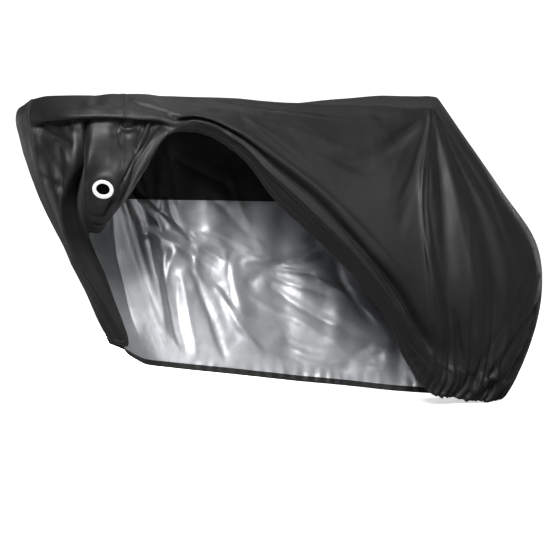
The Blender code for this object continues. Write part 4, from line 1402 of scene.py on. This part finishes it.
@dataclass
class Studio:
    """Pale floor, soft lights and the camera at the photograph's place.

    The camera's focal length and shift are counted in pixels of the photograph.
    """

    camera_at: tuple = (-2.056, -4.850, -0.597)
    camera_turn: float = -18.0
    sensor: float = 36.0
    photo_side: float = 550.0
    focal_length: float = 1400.0
    shift: float = -10.0
    floor_size: float = 60.0
    floor_fade: tuple = (1.0, 3.2)
    floor_glow: float = 0.50
    floor_tone: tuple = (0.95, 0.95, 0.95)
    floor_bounce: tuple = (0.22, 0.22, 0.22)
    surround: tuple = (0.08, 1.0)

    def floor(self, height: float) -> None:
        """Lay the floor under the cover."""
        shape = bmesh.new()
        bmesh.ops.create_grid(shape, x_segments=8, y_segments=8, size=self.floor_size)
        bmesh.ops.translate(shape, verts=shape.verts[:], vec=(0, 0, height))
        thing = made_object("floor", shape)
        w = Wiring("studio_floor")
        level = {0: w.place(), 1: (1.0, 1.0, 0.0)}
        flat = w.node("VectorMath", level, operation="MULTIPLY").outputs[0]
        away = w.node("VectorMath", {0: flat}, operation="LENGTH").outputs["Value"]
        seen = w.node("LightPath").outputs["Is Camera Ray"]
        glow = w.span(away, *self.floor_fade, self.floor_glow, 1.0)
        thing.data.materials.append(w.settle(
            Base_Color=w.mix(seen, self.floor_bounce, self.floor_tone),
            Roughness=0.8,
            Emission_Color=(1, 1, 1, 1),
            Emission_Strength=w.maths("MULTIPLY", glow, seen),
        ))
        thing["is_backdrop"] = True

    def light(self, lamp: Lamp) -> None:
        """Hang one light that looks at a point."""
        data = bpy.data.lights.new(lamp.name, "AREA")
        data.size, data.energy = lamp.size, lamp.watts
        thing = bpy.data.objects.new(lamp.name, data)
        thing.location = lamp.at
        aim = Vector(lamp.to) - Vector(lamp.at)
        thing.rotation_euler = aim.to_track_quat("-Z", "Y").to_euler()
        bpy.context.scene.collection.objects.link(thing)

    def world(self) -> None:
        """Surround the scene with white that the camera sees brighter than the cover does."""
        world = bpy.data.worlds.new("studio")
        world.use_nodes = True
        tree = world.node_tree
        seen = tree.nodes.new("ShaderNodeLightPath").outputs["Is Camera Ray"]
        strength = tree.nodes.new("ShaderNodeMapRange")
        for name, value in zip(("To Min", "To Max"), self.surround):
            strength.inputs[name].default_value = value
        tree.links.new(seen, strength.inputs["Value"])
        background = tree.nodes["Background"]
        background.inputs["Color"].default_value = (1, 1, 1, 1)
        tree.links.new(strength.outputs["Result"], background.inputs["Strength"])
        bpy.context.scene.world = world

    def camera(self) -> None:
        """Put the camera at the photograph's place."""
        data = bpy.data.cameras.new("camera")
        data.sensor_width = self.sensor
        data.lens = self.focal_length / self.photo_side * self.sensor
        data.shift_y = self.shift / self.photo_side
        data.clip_start, data.clip_end = 0.1, 200
        camera = bpy.data.objects.new("camera", data)
        camera.location = self.camera_at
        camera.rotation_euler = (math.radians(90), 0, math.radians(self.camera_turn))
        bpy.context.scene.collection.objects.link(camera)
        bpy.context.scene.camera = camera

    def build(self, height: float) -> None:
        """Set up the floor, the lights, the pale surroundings and the camera."""
        self.floor(height)
        for lamp in LAMPS:
            self.light(lamp)
        self.world()
        settings = bpy.context.scene.view_settings
        settings.view_transform, settings.look = "Standard", "Medium High Contrast"
        self.camera()


def main() -> None:
    """Load the frame, build and dress every piece, log their face counts and set up the studio."""
    logging.basicConfig(level=logging.INFO, format="%(name)s: %(message)s")
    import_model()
    cad_low, cad_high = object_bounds()
    pattern = Pattern()
    whole = pattern.whole()
    seam = int(np.argmin(np.abs(whole.section[:, 0] - SEAM_SECTION)))
    front, body = whole.columns(0, seam), whole.columns(seam, len(whole.section) - 1)
    black, silver = BlackFace().material(), SilverLiningAndPaintedShade().material()
    panels = (
        Panel("front_cloth", "front_panel", "front_cloth", (0.60, 2.60), 0.80, front, (0, -1)),
        Panel("body_cloth", "body_panel", "body_cloth", (1.75, 2.75), 3.60, body, (0,),
              closed=True),
        Panel("strip_cloth", "front_strip", "strip_cloth", (0.21, 0.95), 0.17,
              pattern.strip(whole), (0, -1)),
    )
    for panel in panels:
        piece = panel.build()
        if panel.node == "front_panel":
            pattern.eyelet.cut_hole(piece)
        panel.dress(piece, black, silver)
        LOG.info("%s: %d faces", piece.name, len(piece.data.polygons))
    eyelet = pattern.eyelet.build()
    pattern.eyelet.dress(eyelet)
    LOG.info("%s: %d faces", eyelet.name, len(eyelet.data.polygons))
    Studio().build(cad_low.z)


if __name__ == "__main__":
    main()
